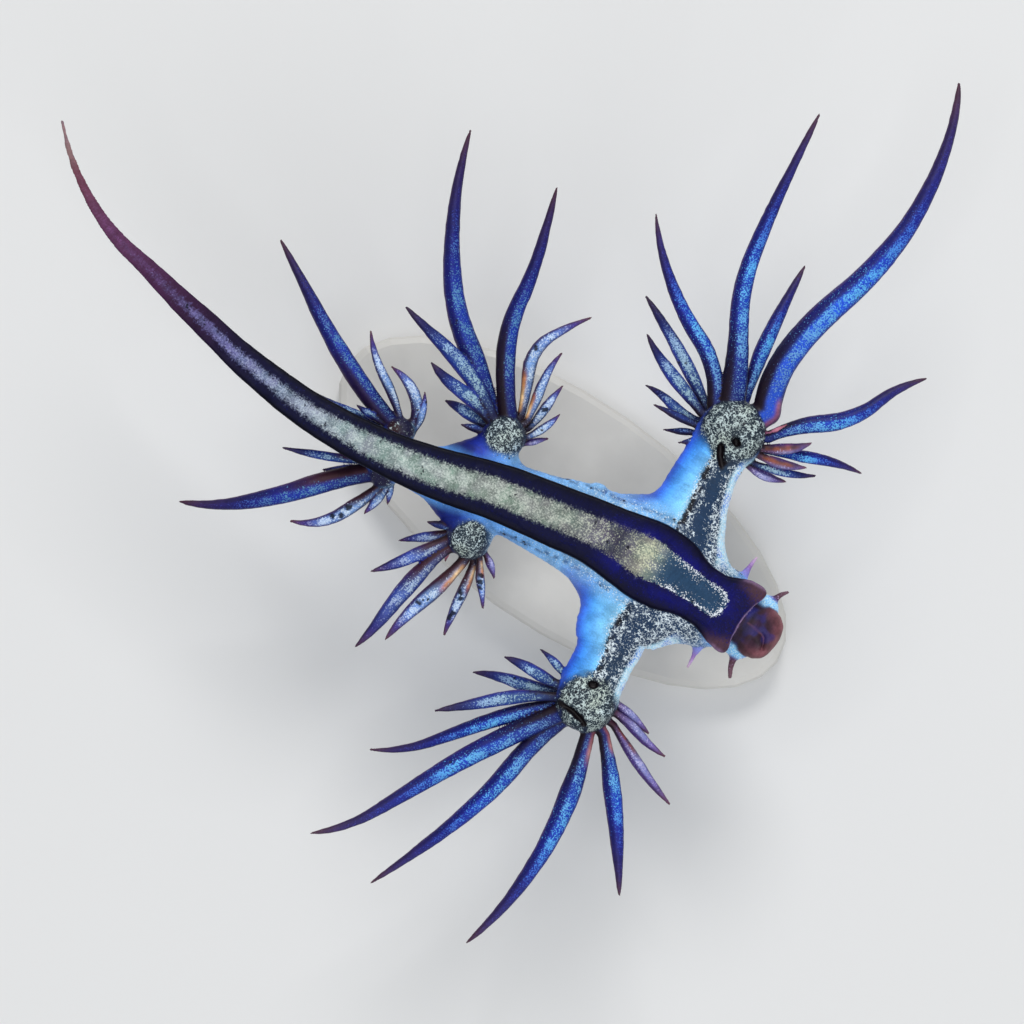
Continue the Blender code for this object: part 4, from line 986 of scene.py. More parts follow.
band = ramp(body_x, [
    (-24.5, (150, 120, 124)), (-23.5, (138, 108, 110)), (-22.7, (108, 62, 78)), (-20.5, (92, 52, 84)), (-17.5, (72, 38, 72)), (-15, (46, 22, 54)), (-13, (22, 13, 46)),
    (-11, (10, 10, 46)), (-7, (3, 6, 42)), (0, (3, 6, 46)), (5, (4, 6, 50)), (8, (5, 6, 64)), (11.2, (7, 8, 68)), (12.2, (16, 11, 58)),
])
band = band * (1 - 0.80 * smooth(0.62, 0.98, rim_at) * smooth(-16, -10, body_x) * smooth(12.2, 11.2, body_x))[:, None]
corner = smooth(0.9, 1.5, np.abs(y - 0.66)) * smooth(11.2, 12.2, x) + 0.5 * smooth(12.0, 12.5, x) * smooth(0.55, 1.2, np.abs(y - 0.66))
haze = np.exp(-((np.maximum(np.abs(body_u) - half_now, 0) / 0.42) ** 2)) * smooth(4.6, 7.4, body_x) * smooth(12.6, 11.4, body_x)
band = mix(band, linear(6, 9, 122), 0.60 * haze * smooth(0.2, 0.7, value_noise(point, 1.4, 25)))
band = mix(band, linear(78, 52, 64), np.clip(corner, 0, 1) * 0.9)
front_gap = (FOOT_FRONT + FOOT_CORNER * np.minimum(((y - 0.66) / 1.3) ** 2, 1.6)) - x
hair = np.exp(-(((front_gap + 0.010) / 0.036) ** 2)) * smooth(12.0, 12.3, x)
side_hair = smooth(0.88, 1.0, rim_at) * smooth(11.5, 12.0, body_x) * smooth(0.0, 0.6, up)
band = mix(band, linear(176, 144, 190), np.clip(hair * 0.90 + side_hair * 0.40, 0, 1))
stripe = ramp(body_x, [
    (-24.5, (150, 124, 126)), (-23.5, (140, 112, 112)), (-22.7, (110, 66, 84)), (-20.5, (94, 56, 94)), (-17.5, (78, 52, 92)), (-15.5, (78, 68, 112)), (-13, (88, 90, 138)), (-11, (98, 106, 144)),
    (-8, (122, 136, 150)), (-4, (130, 146, 146)), (0, (124, 136, 130)), (3.6, (114, 124, 120)), (5.2, (88, 90, 104)),
    (6.1, (60, 58, 80)), (6.8, (94, 98, 104)), (7.4, (134, 140, 128)), (8.0, (108, 122, 124)), (8.4, (50, 78, 104)), (8.8, (35, 64, 94)), (11.6, (35, 64, 94)),
])
tint = value_noise(point * (1, 1, 0.3), 2.4, 11)
stripe = stripe * mix(np.array([0.90, 1.03, 0.92]), np.array([1.13, 0.97, 1.07]), mix(tint, 0.5, smooth(8.0, 8.6, body_x)))
# clouds of light and of grey along the stripe, its heart lighter than its sides
heart = smooth(0.0, 0.9, in_stripe / np.maximum(half_now, 0.1))
turned = np.stack([0.8 * x + 0.6 * y, 0.8 * y - 0.6 * x, 0.3 * z], 1)
puffs = 0.35 * value_noise(turned, 1.2, 12) + 0.65 * value_noise(turned, 3.1, 13)
patch = smooth(7.8, 8.7, body_x + 0.9 * (puffs - 0.5) + 0.25 * (value_noise(point, 4.5, 33) - 0.5))
stripe = stripe * mix(mix(0.86, 1.24, smooth(0.30, 0.68, puffs) * (0.5 + 0.5 * heart)) * mix(0.86, 1.14, value_noise(point, 5.5, 30)), 1.0, patch)[:, None]
fleck_stripe = mix(ramp(body_x, [(-24, (160, 142, 158)), (-18, (128, 114, 166)), (-14, (138, 134, 188)), (-10.5, (164, 176, 200)), (-6, (190, 204, 202)), (4, (188, 194, 182)), (7.8, (204, 208, 178)), (9, (228, 234, 242))]), linear(10, 16, 104), smooth(0.0, -0.05, in_stripe))
border = np.exp(-(((in_stripe - 0.09) / 0.10) ** 2))
speckled = np.exp(-(((in_stripe - 0.08) / 0.13) ** 2))
broken = smooth(0.30, 0.62, value_noise(point * (1, 1, 0.3), 2.6, 14))
stripe_amount = mix(0.05 + 0.07 * smooth(-20, -16, body_x) + 0.46 * smooth(-18, -9, body_x) * (0.35 + 0.65 * smooth(0.25, 0.7, puffs)) * (0.45 + 0.55 * heart),
                    (0.17 + 0.21 * broken) * speckled + 0.15 * smooth(0.7, 0.1, in_stripe), patch)
stripe_amount = stripe_amount * (1 - 0.55 * np.exp(-(((body_x - 6.2) / 0.7) ** 2)))
band_amount = (0.08 + 0.20 * smooth(4.5, 6.5, body_x)) * smooth(0.98, 0.60, rim_at) * smooth(-13, -9, body_x)
sole_amount = np.where(in_stripe > -0.03, stripe_amount, band_amount)
sole_gentle = mix(np.full(n_points, 0.95), 0.12, smooth(6.4, 8.6, body_x) * (in_stripe > -0.1))
lay(is_sole * smooth(-0.25, 0.15, up), tone=band, over=stripe, edge=in_stripe, ragged=mix(0.26, 0.10, patch), fleck=fleck_stripe, weave=0.0,
    amount=sole_amount, speck=np.where(in_stripe > 0, 0.10, 0.0), coarse=np.where(in_stripe > -0.03, mix(0.25, 0.0, patch), 0.5), gentle=sole_gentle,
    flow=np.stack([body_line.mm(body_place), body_u, np.full(n_points, 1.0)], 1))
lay(is_sole * smooth(0.15, -0.25, up), tone=mix(band, linear(70, 110, 180), 0.25), edge=-1.0, amount=0.1, speck=0.0)

# cerata
ceras_t = np.zeros(n_points)
ceras_q = np.zeros(n_points)
for k, (arm_name, letter, row, line) in enumerate(cerata):
    mine = np.flatnonzero((number == k) & (is_ceras > 0.001))
    if not len(mine):
        continue
    length, width, face = row[2], row[3], row[7]
    pl, u = line.nearest(x[mine], y[mine])
    a = line.at("a", pl)
    t = line.at("t", pl)
    v = (z[mine] - line.at("z", pl)) / line.at("b", pl)
    q = np.clip(u / a, -1.1, 1.1)
    right = ARMS[arm_name]["side"] > 0
    across_to_painted_light = q * (-1 if right else 1)  # across each ceras, positive toward the side painted as lit
    seed = (k * 37 % 17) / 17.0
    angle = np.arctan2(v, q)
    low_side = smooth(0.15, -0.7, up[mine])
    n = value_noise(point[mine], 1.1, 40 + k)
    wob = 0.10 * (n - 0.5)
    # core is the colour of the side painted as lit, side the same colour painted darker as shade
    if face == "b":
        ends = 0.62 + 0.08 * (seed - 0.5)
        core = ramp(t, [(0.0, (18, 34, 104)), (0.12, (22, 46, 138)), (0.3, (24, 62, 176)), (0.45, (24, 58, 180)), (0.6, (20, 34, 142)), (0.72, (28, 32, 116)), (0.88, (50, 38, 96)), (1.0, (76, 50, 66))])
        side = ramp(t, [(0.0, (24, 14, 40)), (0.14, (15, 15, 66)), (0.3, (15, 21, 104)), (0.5, (16, 22, 114)), (0.66, (22, 21, 88)), (0.88, (44, 30, 76)), (1.0, (78, 48, 60))])
        grain = ramp(t, [(0.0, (96, 130, 180)), (0.2, (104, 166, 220)), (0.42, (96, 186, 244)), (0.58, (64, 118, 214)), (0.72, (50, 66, 176)), (0.9, (66, 56, 130)), (1, (100, 72, 104))])
        body_amount = np.interp(t, [0, 0.06, 0.25, 0.45, 0.58, 0.68, 0.9, 1], [0.24, 0.44, 0.56, 0.60, 0.52, 0.36, 0.26, 0.10])
        if not arm_name.startswith("front"):
            core, side = core * np.array([0.80, 0.62, 0.70]), side * np.array([0.9, 0.8, 0.8])
            grain = mix(grain, linear(92, 132, 172), 0.65 * smooth(0.75, 0.5, t)) * 0.82
            body_amount = 0.82 * body_amount
    elif face == "p":
        core = ramp(t, [(0.0, (22, 26, 66)), (0.15, (36, 60, 116)), (0.4, (50, 84, 146)), (0.62, (40, 64, 142)), (0.78, (24, 28, 90)), (1.0, (52, 34, 56))])
        side = ramp(t, [(0.0, (26, 15, 26)), (0.3, (30, 44, 130)), (0.5, (36, 54, 150)), (0.8, (20, 20, 70)), (1.0, (52, 34, 54))])
        grain = ramp(t, [(0.0, (110, 140, 164)), (0.3, (154, 186, 202)), (0.6, (150, 184, 220)), (0.8, (60, 70, 150)), (1, (90, 70, 90))])
        body_amount = np.interp(t, [0, 0.12, 0.3, 0.6, 0.75, 1], [0.15, 0.42, 0.62, 0.58, 0.25, 0.12])
    elif face in "so":
        core = ramp(t, [(0.0, (40, 34, 54)), (0.12, (78, 106, 160)), (0.4, (118, 156, 214)), (0.7, (96, 128, 204)), (0.85, (60, 50, 130)), (1.0, (86, 52, 62))])
        side = ramp(t, [(0.0, (58, 26, 22)), (0.3, (34, 22, 50)), (0.7, (50, 44, 110)), (1.0, (88, 54, 60))])
        grain = ramp(t, [(0.0, (150, 150, 170)), (0.3, (196, 214, 232)), (0.7, (196, 216, 244)), (0.88, (120, 100, 180)), (1, (140, 100, 110))])
        body_amount = np.interp(t, [0, 0.1, 0.25, 0.7, 0.85, 1], [0.2, 0.45, 0.66, 0.64, 0.3, 0.12])
    elif face == "k":
        core = side = ramp(t, [(0.0, (150, 90, 120)), (0.5, (190, 120, 140)), (1.0, (140, 84, 100))])
        grain = core
        body_amount = np.zeros(len(mine))
    elif face in "vw":
        core = ramp(t, [(0.0, (64, 34, 48)), (0.2, (104, 90, 150)), (0.5, (138, 146, 206)), (0.75, (104, 92, 164)), (1.0, (96, 58, 74))])
        side = ramp(t, [(0.0, (40, 20, 34)), (0.4, (70, 50, 120)), (0.8, (64, 44, 96)), (1.0, (96, 58, 70))])
        grain = ramp(t, [(0.0, (150, 120, 160)), (0.4, (190, 190, 232)), (0.8, (150, 130, 190)), (1, (130, 96, 110))])
        body_amount = np.interp(t, [0, 0.15, 0.4, 0.7, 1], [0.12, 0.40, 0.56, 0.42, 0.10])
    else:
        core = ramp(t, [(0.0, (20, 20, 50)), (0.4, (30, 50, 120)), (0.8, (20, 24, 80)), (1.0, (60, 36, 50))])
        side = ramp(t, [(0.0, (22, 12, 22)), (0.5, (16, 16, 56)), (1.0, (62, 38, 48))])
        grain = ramp(t, [(0.0, (90, 110, 150)), (0.5, (110, 150, 210)), (1, (100, 76, 110))])
        body_amount = np.interp(t, [0, 0.2, 0.6, 1], [0.12, 0.34, 0.38, 0.12])
    if arm_name == "middle_left" and face in "bp":
        core = mix(core, ramp(t, [(0.0, (60, 36, 52)), (0.2, (82, 96, 150)), (0.5, (82, 108, 188)), (0.8, (50, 46, 124)), (1.0, (80, 46, 66))]), 0.85)
        grain = mix(grain, ramp(t, [(0.0, (150, 150, 170)), (0.4, (176, 196, 222)), (0.75, (150, 160, 214)), (1, (110, 80, 110))]), 0.85)
    # the streak lies a little to the side painted as lit, and the other side is painted dark as shade down to the root:
    # the streak's own colour with painted light and shade over it
    pale = face in "pso" or (arm_name == "middle_left" and face == "b")
    middle = (0.12 if pale else 0.34) + wob
    if (arm_name, letter) == ("front_right", "A"):
        core = mix(core, linear(34, 92, 232), 0.6 * smooth(0.6, 0.3, t))
    painted_highlight = np.exp(-(((across_to_painted_light - middle) / (0.66 if pale else 0.54)) ** 2))
    colour = mix(side, core, smooth(0.10, 0.70, painted_highlight))
    # painted shade: fewer pale granules toward both edges of each ceras
    painted_edge_shade = 0.6 * smooth(0.90, 1.05, np.abs(q))
    maroon_rim = np.exp(-(((across_to_painted_light + 0.92) / 0.09) ** 2)) * smooth(0.10, 0.3, t)
    if arm_name in ("middle_left", "rear_left", "rear_right"):
        root_shade = smooth(0.54, 0.22, t) * smooth(0.30, -0.20, across_to_painted_light)
        colour = mix(colour, linear(34, 16, 62) if arm_name == "rear_right" else linear(58, 22, 26), 0.92 * root_shade)
    colour = mix(colour, linear(84, 44, 84), 0.45 * maroon_rim)
    # painted shade: the root is painted near black on the side away from the light
    root_painted_shade = smooth(0.30, 0.02, t) * smooth(-0.10, -0.65, across_to_painted_light)
    if (arm_name, letter) == ("middle_right", "B"):
        root_painted_shade = smooth(0.50, 0.30, t) * smooth(0.15, -0.20, across_to_painted_light)
    colour = mix(colour, linear(24, 10, 18), 0.85 * root_painted_shade)
    gold = np.zeros(len(mine))
    hood = ramp(t, [(0.0, (120, 62, 44)), (0.06, (214, 160, 104)), (0.14, (240, 204, 150)), (0.24, (222, 152, 88)), (0.36, (150, 70, 44)), (0.5, (84, 40, 52))])
    hood = hood * mix(0.72, 1.18, smooth(0.25, 0.7, value_noise(point[mine], 5.0, 26)))[:, None]
    if face == "o":
        gold = np.exp(-(((across_to_painted_light - (-0.50 if right else 0.55)) / 0.36) ** 2)) * smooth(0.01, 0.06, t) * smooth(0.44, 0.30, t + 0.1 * (n - 0.5))
    if face == "w":
        gold = np.exp(-(((across_to_painted_light - (0.0 if right else 0.45)) / 0.62) ** 2)) * smooth(0.01, 0.08, t) * smooth(0.95 if right else 0.5, 0.65 if right else 0.25, t)
        hood = ramp(t, [(0.0, (62, 26, 16)), (0.15, (116, 56, 2)), (0.5, (132, 68, 4)), (0.8, (86, 46, 34))])
        hood = hood * mix(0.28, 1.35, smooth(0.25, 0.7, value_noise(point[mine], 4.0, 27)))[:, None]
        if arm_name == "front_left":
            gold = gold * smooth(0.20, 0.62, across_to_painted_light)
    if (arm_name, letter) in (("front_left", "C"), ("front_left", "D"), ("front_right", "A")):
        far = 0.05 if letter == "A" else 0.16
        gold = 0.85 * np.exp(-(((across_to_painted_light - 0.74) / (0.20 if letter == "A" else 0.30)) ** 2)) * smooth(far, 0.4 * far, t)
        hood = ramp(t, [(0.0, (150, 84, 84)), (0.08, (204, 142, 128)), (0.2, (140, 100, 180))])
    colour = mix(colour, hood, np.clip(gold, 0, 1) * 0.9)
    for centre in BLOTS.get((arm_name, letter), ()):
        off = ((t - centre) * length / 0.12) ** 2 + ((q - 0.25 * math.sin(40 * centre)) * a / 0.12) ** 2
        spot = smooth(0.60, 0.46, np.sqrt(off) * 0.5 + 0.5 * (value_noise(point[mine], 7.0, 28) - 0.5))
        colour = mix(colour, linear(9, 11, 20), 0.93 * spot)
        body_amount = body_amount * (1 - spot)
    under = mix(linear(96, 116, 160), linear(132, 148, 184), n)
    under = mix(under, linear(50, 52, 110), smooth(0.5, 0.95, t))
    under = mix(under, linear(92, 62, 76), smooth(0.93, 1.0, t))
    colour = mix(colour, under, low_side)
    grain = mix(grain, linear(170, 184, 212), 0.8 * low_side)
    if arm_name in ("middle_left", "rear_left", "rear_right"):
        body_amount = body_amount * (1 - 0.85 * root_shade)
    # painted light and shade: more pale granules on the side painted as lit, fewer at the painted shaded edges and root
    many = body_amount * (0.22 + 0.78 * smooth(0.10, 0.75, painted_highlight)) * mix(0.62, 1.15, smooth(0.25, 0.7, value_noise(point[mine], 2.6, 31))) * (1 - 0.7 * root_painted_shade) * (1 - 0.8 * painted_edge_shade) * (1 - 0.8 * np.clip(gold, 0, 1))
    many = mix(many, 0.25 * smooth(1, 0.6, t), low_side)
    dots = np.interp(t, [0, 0.5, 1], [0.14, 0.14, 0.0]) * (1 if face in "so" else 0.5 if face == "p" else 0.3)
    whole_w = is_ceras[mine]

    def set_rows(array, value):
        array[mine] = mix(array[mine], np.asarray(value, float), whole_w)

    set_rows(tone, colour)
    set_rows(over, colour)
    set_rows(fleck, grain)
    set_rows(amount, many)
    set_rows(speck, dots * (1 - low_side))
    set_rows(coarse, np.full(len(mine), 0.12 if face == "b" else 0.30))
    set_rows(gentle, np.full(len(mine), 0.35))
    set_rows(weave, np.zeros(len(mine)))
    flow[mine] = np.stack([t * length, angle * a, np.full(len(mine), 20.0 + k)], 1)
    ceras_t[mine], ceras_q[mine] = t, across_to_painted_light
pit = np.exp(-(((x - 4.38) / 0.16) ** 2 + ((y - 1.86) / 0.16) ** 2)) * (up > -0.2)
tone[...] = mix(tone, linear(14, 40, 120), 0.8 * pit)
# shade where cerata meet the pads and each other
crowd = smooth(0.10, -0.02, np.abs(field_fringe - field_trunk)) * (number >= 0) * (1 - is_sole)
tone *= (1 - 0.30 * crowd)[:, None]
amount *= 1 - 0.3 * crowd

# ---------------------------------------------------------------- fine relief
relief = np.zeros(n_points)
on_pad = np.zeros(n_points)
for name, arm in ARMS.items():
    on_pad = np.maximum(on_pad, smooth(0.12, -0.05, pads[name]) * (1 - is_ceras) * (1 - is_sole))
bumpy = np.flatnonzero(on_pad > 0.01)
relief[bumpy] += on_pad[bumpy] * (0.032 * (0.55 - cell_noise(point[bumpy], 3.6, 5)))
relief += 0.020 * (value_noise(point, 3.2, 21) - 0.5) * (1 - is_ceras)
relief += 0.030 * (value_noise(point, 1.1, 22) - 0.5)
relief += is_ceras * 0.022 * (value_noise(point, 4.0, 23) - 0.5)
wrinkle = np.sin(flow[:, 0] * 19 + 5 * blotch) * 0.007 * (1 - is_ceras) * (1 - is_sole) * (1 - on_pad)
relief += wrinkle
relief += is_sole * (0.012 * np.sin(body_u * 9 + 6 * cloud) * smooth(1.0, 0.7, rim_at) * smooth(0.2, 0.9, up))
relief *= smooth(0.02, 0.25, np.where(number >= 0, 0.2, 1.0))
thin = np.ones(n_points)
point = point + normal * (relief * thin)[:, None]

# ---------------------------------------------------------------- the mesh
mesh = bpy.data.meshes.new("sea_slug_skin")
mesh.vertices.add(n_points)
mesh.vertices.foreach_set("co", ((point + SHIFT) * MM).astype(np.float32).ravel())
mesh.loops.add(4 * len(quads))
mesh.loops.foreach_set("vertex_index", quads.astype(np.int32).ravel())
mesh.polygons.add(len(quads))
mesh.polygons.foreach_set("loop_start", np.arange(0, 4 * len(quads), 4, dtype=np.int32))
mesh.update(calc_edges=True)
mesh.validate()
mesh.polygons.foreach_set("use_smooth", np.ones(len(mesh.polygons), bool))


def store(name, values, kind="FLOAT"):
    layer = mesh.attributes.new(name, kind, "POINT")
    values = np.asarray(values, np.float32)
    if kind == "FLOAT_COLOR":
        values = np.concatenate([values, np.ones((len(values), 1), np.float32)], 1)
        layer.data.foreach_set("color", values.ravel())
    elif kind == "FLOAT_VECTOR":
        layer.data.foreach_set("vector", values.ravel())
    else:
        layer.data.foreach_set("value", values.ravel())


store("tone", np.clip(tone, 0, 1), "FLOAT_COLOR")
store("over", np.clip(over, 0, 1), "FLOAT_COLOR")
store("fleck", np.clip(fleck, 0, 1), "FLOAT_COLOR")
store("edge", edge)
store("ragged", ragged)
store("amount", amount)
store("speck", speck)
store("coarse", coarse)
store("gentle", gentle)
store("weave", weave)
store("flow", flow, "FLOAT_VECTOR")

skin = bpy.data.objects.new("sea_slug_skin", mesh)
bpy.context.scene.collection.objects.link(skin)
print("skin:", n_points, "vertices,", len(quads), "quads")


# ---------------------------------------------------------------- materials
class Tree:
    """Short calls for building a node tree."""

    def __init__(self, name):
        self.material = bpy.data.materials.new(name)
        self.material.use_nodes = True
        self.nodes = self.material.node_tree.nodes
        self.links = self.material.node_tree.links
        self.nodes.clear()
        self.out = self.nodes.new("ShaderNodeOutputMaterial")
        self.shader = self.nodes.new("ShaderNodeBsdfPrincipled")
        self.links.new(self.shader.outputs[0], self.out.inputs[0])

    def put(self, socket, value):
        if isinstance(value, bpy.types.NodeSocket):
            self.links.new(value, socket)
        elif value is not None:
            socket.default_value = value

    def attribute(self, name, output="Fac"):
        node = self.nodes.new("ShaderNodeAttribute")
        node.attribute_type = "GEOMETRY"
        node.attribute_name = name
        return node.outputs[output]

    def place(self, scale):
        """The object's own coordinates in millimetres, scaled."""
        where = self.nodes.new("ShaderNodeTexCoord")
        scaled = self.nodes.new("ShaderNodeVectorMath")
        scaled.operation = "SCALE"
        self.links.new(where.outputs["Object"], scaled.inputs[0])
        scaled.inputs["Scale"].default_value = 1000.0 * scale
        return scaled.outputs[0]

    def vector(self, operation, a, b):
        node = self.nodes.new("ShaderNodeVectorMath")
        node.operation = operation
        self.put(node.inputs[0], a)
        self.put(node.inputs[1], b)
        return node.outputs[0]

    def bend(self, vector, scale):
        """A vector of noise around zero."""
        node = self.nodes.new("ShaderNodeTexNoise")
        self.put(node.inputs["Vector"], vector)
        node.inputs["Scale"].default_value = scale
        node.inputs["Detail"].default_value = 1.0
        return self.vector("SUBTRACT", node.outputs["Color"], (0.5, 0.5, 0.5))

    def math(self, operation, a, b=None, c=None, clamp=False):
        node = self.nodes.new("ShaderNodeMath")
        node.operation = operation
        node.use_clamp = clamp
        for socket, value in zip(node.inputs, (a, b, c)):
            self.put(socket, value)
        return node.outputs[0]

    def noise(self, vector, scale=1.0, detail=2.0, roughness=0.5, distortion=0.0):
        node = self.nodes.new("ShaderNodeTexNoise")
        self.put(node.inputs["Vector"], vector)
        node.inputs["Scale"].default_value = scale
        node.inputs["Detail"].default_value = detail
        node.inputs["Roughness"].default_value = roughness
        node.inputs["Distortion"].default_value = distortion
        return node.outputs["Fac"]

    def cells(self, vector, scale=1.0, feature="F1", output="Distance"):
        node = self.nodes.new("ShaderNodeTexVoronoi")
        node.feature = feature
        self.put(node.inputs["Vector"], vector)
        node.inputs["Scale"].default_value = scale
        return node.outputs[output]

    def step(self, value, low, high, out_low=0.0, out_high=1.0, kind="SMOOTHSTEP"):
        node = self.nodes.new("ShaderNodeMapRange")
        node.interpolation_type = kind
        self.put(node.inputs["Value"], value)
        self.put(node.inputs["From Min"], low)
        self.put(node.inputs["From Max"], high)
        self.put(node.inputs["To Min"], out_low)
        self.put(node.inputs["To Max"], out_high)
        return node.outputs["Result"]

    def blend(self, factor, a, b, kind="MIX"):
        node = self.nodes.new("ShaderNodeMix")
        node.data_type = "RGBA"
        node.blend_type = kind
        node.clamp_factor = True
        self.put(node.inputs[0], factor)
        self.put(node.inputs[6], a)
        self.put(node.inputs[7], b)
        return node.outputs[2]

    def bump(self, height, strength, distance):
        node = self.nodes.new("ShaderNodeBump")
        node.inputs["Strength"].default_value = strength
        node.inputs["Distance"].default_value = distance * MM
        self.put(node.inputs["Height"], height)
        return node.outputs[0]


def skin_material(name, gloss):
    t = Tree(name)
    where = t.place(1.0)
    flow_at = t.attribute("flow", "Vector")
    # fibres lie across the body and the arms
    fibres = t.noise(t.vector("MULTIPLY", flow_at, (9.0, 2.2, 3.7)), 1.0, 3.0, 0.6)
    fine = t.noise(where, 13.0, 3.0, 0.62)
    grain_small = t.noise(where, 15.0, 1.5, 0.55)
    grain_large = t.noise(where, 7.5, 2.0, 0.62, 0.3)
    soft = t.noise(where, 1.5, 2.0, 0.5)
    # ragged borders
    shift = t.math("MULTIPLY", t.math("SUBTRACT", fibres, 0.5), 1.5)
    shift = t.math("ADD", shift, t.math("MULTIPLY", t.math("SUBTRACT", fine, 0.5), 1.6))
    shift = t.math("ADD", shift, t.math("MULTIPLY", t.math("SUBTRACT", grain_large, 0.5), 1.6))
    jag = t.math("MULTIPLY_ADD", shift, t.attribute("ragged"), t.attribute("edge"))
    soft_edge = t.attribute("gentle")
    over_mask = t.step(jag, t.math("MULTIPLY_ADD", soft_edge, -0.10, -0.02), t.math("MULTIPLY_ADD", soft_edge, 0.16, 0.03))
    colour = t.blend(over_mask, t.attribute("tone", "Color"), t.attribute("over", "Color"))
    # light and dark fibres and a broad unevenness
    colour = t.blend(1.0, colour, t.step(fibres, 0.25, 0.75, 0.84, 1.16, "LINEAR"), "MULTIPLY")
    colour = t.blend(1.0, colour, t.step(soft, 0.3, 0.7, 0.86, 1.12, "LINEAR"), "MULTIPLY")
    # bright granules
    grain = t.math("ADD", t.math("MULTIPLY", grain_large, t.attribute("coarse")), t.math("MULTIPLY", grain_small, t.math("SUBTRACT", 1.0, t.attribute("coarse"))))
    many = t.attribute("amount")
    threshold = t.step(many, 0.0, 1.0, 0.72, 0.30, "LINEAR")
    border = t.math("MULTIPLY_ADD", t.attribute("gentle"), 0.13, 0.028)
    fleck_mask = t.step(grain, t.math("SUBTRACT", threshold, border), t.math("ADD", threshold, border))
    fleck_mask = t.math("MULTIPLY", fleck_mask, t.step(many, 0.0, 0.10))
    # the net: walls between cells, broken where there are few granules
    bent = t.vector("ADD", where, t.vector("MULTIPLY", t.bend(where, 5.0), (0.32, 0.32, 0.32)))
    walls = t.math("MULTIPLY", t.step(t.cells(bent, 5.0, "DISTANCE_TO_EDGE"), 0.135, 0.045), t.step(t.noise(where, 4.2, 2.0, 0.6), t.step(many, 0.0, 0.6, 0.66, 0.28, "LINEAR"), t.step(many, 0.0, 0.6, 0.73, 0.37, "LINEAR")))
    knots = t.math("MULTIPLY", fleck_mask, 0.55)
    netted = t.math("MAXIMUM", walls, knots)
    fleck_mask = t.math("ADD", fleck_mask, t.math("MULTIPLY", t.math("SUBTRACT", netted, fleck_mask), t.attribute("weave")))
    colour = t.blend(t.math("MULTIPLY", fleck_mask, t.step(fine, 0.25, 0.7, 0.72, 1.0)), colour, t.attribute("fleck", "Color"))
    # dark dots
    dots = t.cells(where, 4.4)
    patchy = t.noise(where, 2.0, 1.0, 0.5)
    dark = t.attribute("speck")
    dot_mask = t.math("MULTIPLY", t.step(dots, 0.42, 0.28), t.step(patchy, t.step(dark, 0.0, 1.0, 0.70, 0.28, "LINEAR"), t.step(dark, 0.0, 1.0, 0.76, 0.34, "LINEAR")))
    dot_mask = t.math("MULTIPLY", dot_mask, t.step(dark, 0.0, 0.06))
    colour = t.blend(t.math("MULTIPLY", dot_mask, 0.92), colour, (0.004, 0.006, 0.014, 1))
    colour = t.blend(1.0, colour, t.step(fine, 0.25, 0.75, 0.80, 1.22, "LINEAR"), "MULTIPLY")
    t.put(t.shader.inputs["Base Color"], colour)
    t.put(t.shader.inputs["Roughness"], t.step(t.math("ADD", fine, t.math("MULTIPLY", fleck_mask, -0.25)), 0.1, 0.8, 0.34, 0.56, "LINEAR"))
    height = t.math("ADD", t.math("MULTIPLY", fleck_mask, 0.6), t.math("MULTIPLY", fine, 0.5))
    height = t.math("ADD", height, t.math("MULTIPLY", fibres, 0.45))
    height = t.math("SUBTRACT", height, t.math("MULTIPLY", dot_mask, 0.5))
    t.put(t.shader.inputs["Normal"], t.bump(height, 0.55, 0.030))
    t.shader.inputs["Specular IOR Level"].default_value = gloss
    return t.material


mesh.materials.append(skin_material("slug_skin", 0.22))
mesh.materials.append(skin_material("slug_sole", 0.10))
sole_face = (is_sole * (up > -0.2))[quads].mean(1) > 0.5
if len(mesh.polygons) == len(quads):
    mesh.polygons.foreach_set("material_index", sole_face.astype(np.int32))


def stand_material(name, base, dark, scale, rough, metal=0.0, streak=False):
    t = Tree(name)
    where = t.place(scale)
    if streak:
        where = t.vector("MULTIPLY", where, (9.0, 9.0, 0.5))
    broad = t.noise(where, 0.35, 3.0, 0.55)
    fine = t.noise(where, 5.0, 3.0, 0.6)
    colour = t.blend(t.step(broad, 0.3, 0.7), base, dark)
    t.put(t.shader.inputs["Base Color"], colour)
    t.put(t.shader.inputs["Roughness"], t.step(fine, 0.2, 0.8, rough - 0.07, rough + 0.07, "LINEAR"))
    t.put(t.shader.inputs["Normal"], t.bump(fine, 0.20, 0.02))
    t.shader.inputs["Metallic"].default_value = metal
    return t.material


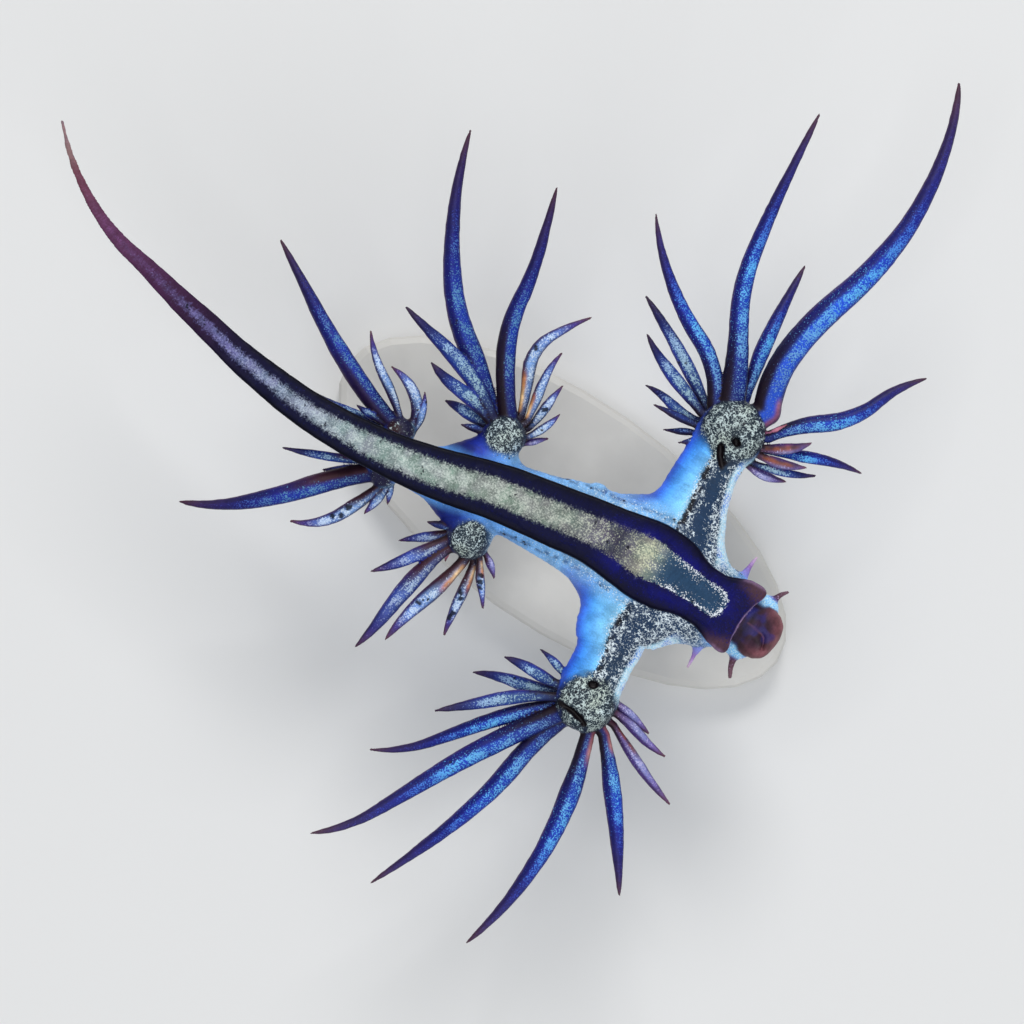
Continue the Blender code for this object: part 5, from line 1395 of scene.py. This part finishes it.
base_look = stand_material("stand_base_satin", (0.64, 0.63, 0.60, 1), (0.58, 0.57, 0.545, 1), 1.0, 0.48)
rod_look = stand_material("stand_rod_steel", (0.62, 0.62, 0.63, 1), (0.50, 0.50, 0.52, 1), 1.0, 0.30, 1.0, True)
for name in ("stand_base", "stand_rod_front", "stand_rod_rear"):
    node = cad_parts[name]
    look = base_look if name == "stand_base" else rod_look
    node.data.materials.clear()
    node.data.materials.append(look)

flesh = [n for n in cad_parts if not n.startswith("stand_")]
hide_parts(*flesh)
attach(skin, "root")

# ---------------------------------------------------------------- floor, light, camera
bpy.ops.mesh.primitive_plane_add(size=4.0, location=(0, 0, 0))
floor = bpy.context.object
floor.name = "floor"
ft = Tree("floor_paper")
ft.put(ft.shader.inputs["Base Color"], ft.blend(ft.noise(ft.place(0.02), 1.0, 2.0), (0.74, 0.745, 0.75, 1), (0.72, 0.725, 0.73, 1)))
ft.shader.inputs["Roughness"].default_value = 0.8
floor.data.materials.append(ft.material)

scene = bpy.context.scene
world = bpy.data.worlds.new("studio")
world.use_nodes = True
world.node_tree.nodes["Background"].inputs[0].default_value = (0.96, 0.98, 1.0, 1)
world.node_tree.nodes["Background"].inputs[1].default_value = 0.42
scene.world = world


def area_light(name, place, target, width, power, colour=(1, 1, 1)):
    data = bpy.data.lights.new(name, "AREA")
    data.shape = "DISK"
    data.size = width
    data.energy = power
    data.color = colour
    lamp = bpy.data.objects.new(name, data)
    scene.collection.objects.link(lamp)
    lamp.location = place
    way = np.array(target, float) - np.array(place, float)
    from mathutils import Vector

    lamp.rotation_euler = Vector(way).to_track_quat("-Z", "Y").to_euler()


area_light("key", (-0.18, 0.34, 0.42), (0, 0, 0.01), 0.22, 1.55, (1.0, 0.985, 0.96))
area_light("fill", (0.42, -0.22, 0.34), (0, 0, 0.01), 0.30, 0.75, (0.95, 0.98, 1.0))
area_light("top", (0.02, -0.10, 0.60), (0, 0, 0.01), 0.30, 0.8)

cam_data = bpy.data.cameras.new("camera")
cam_data.lens = 200
cam_data.sensor_width = 36
cam_data.clip_start = 0.01
cam_data.clip_end = 10
camera = bpy.data.objects.new("camera", cam_data)
scene.collection.objects.link(camera)
camera.location = (np.array([1.4925, -1.2108, 250.31]) + SHIFT) * MM
camera.rotation_euler = (0, 0, math.radians(35))
scene.camera = camera
scene.view_settings.view_transform = "Standard"
scene.view_settings.look = "None"
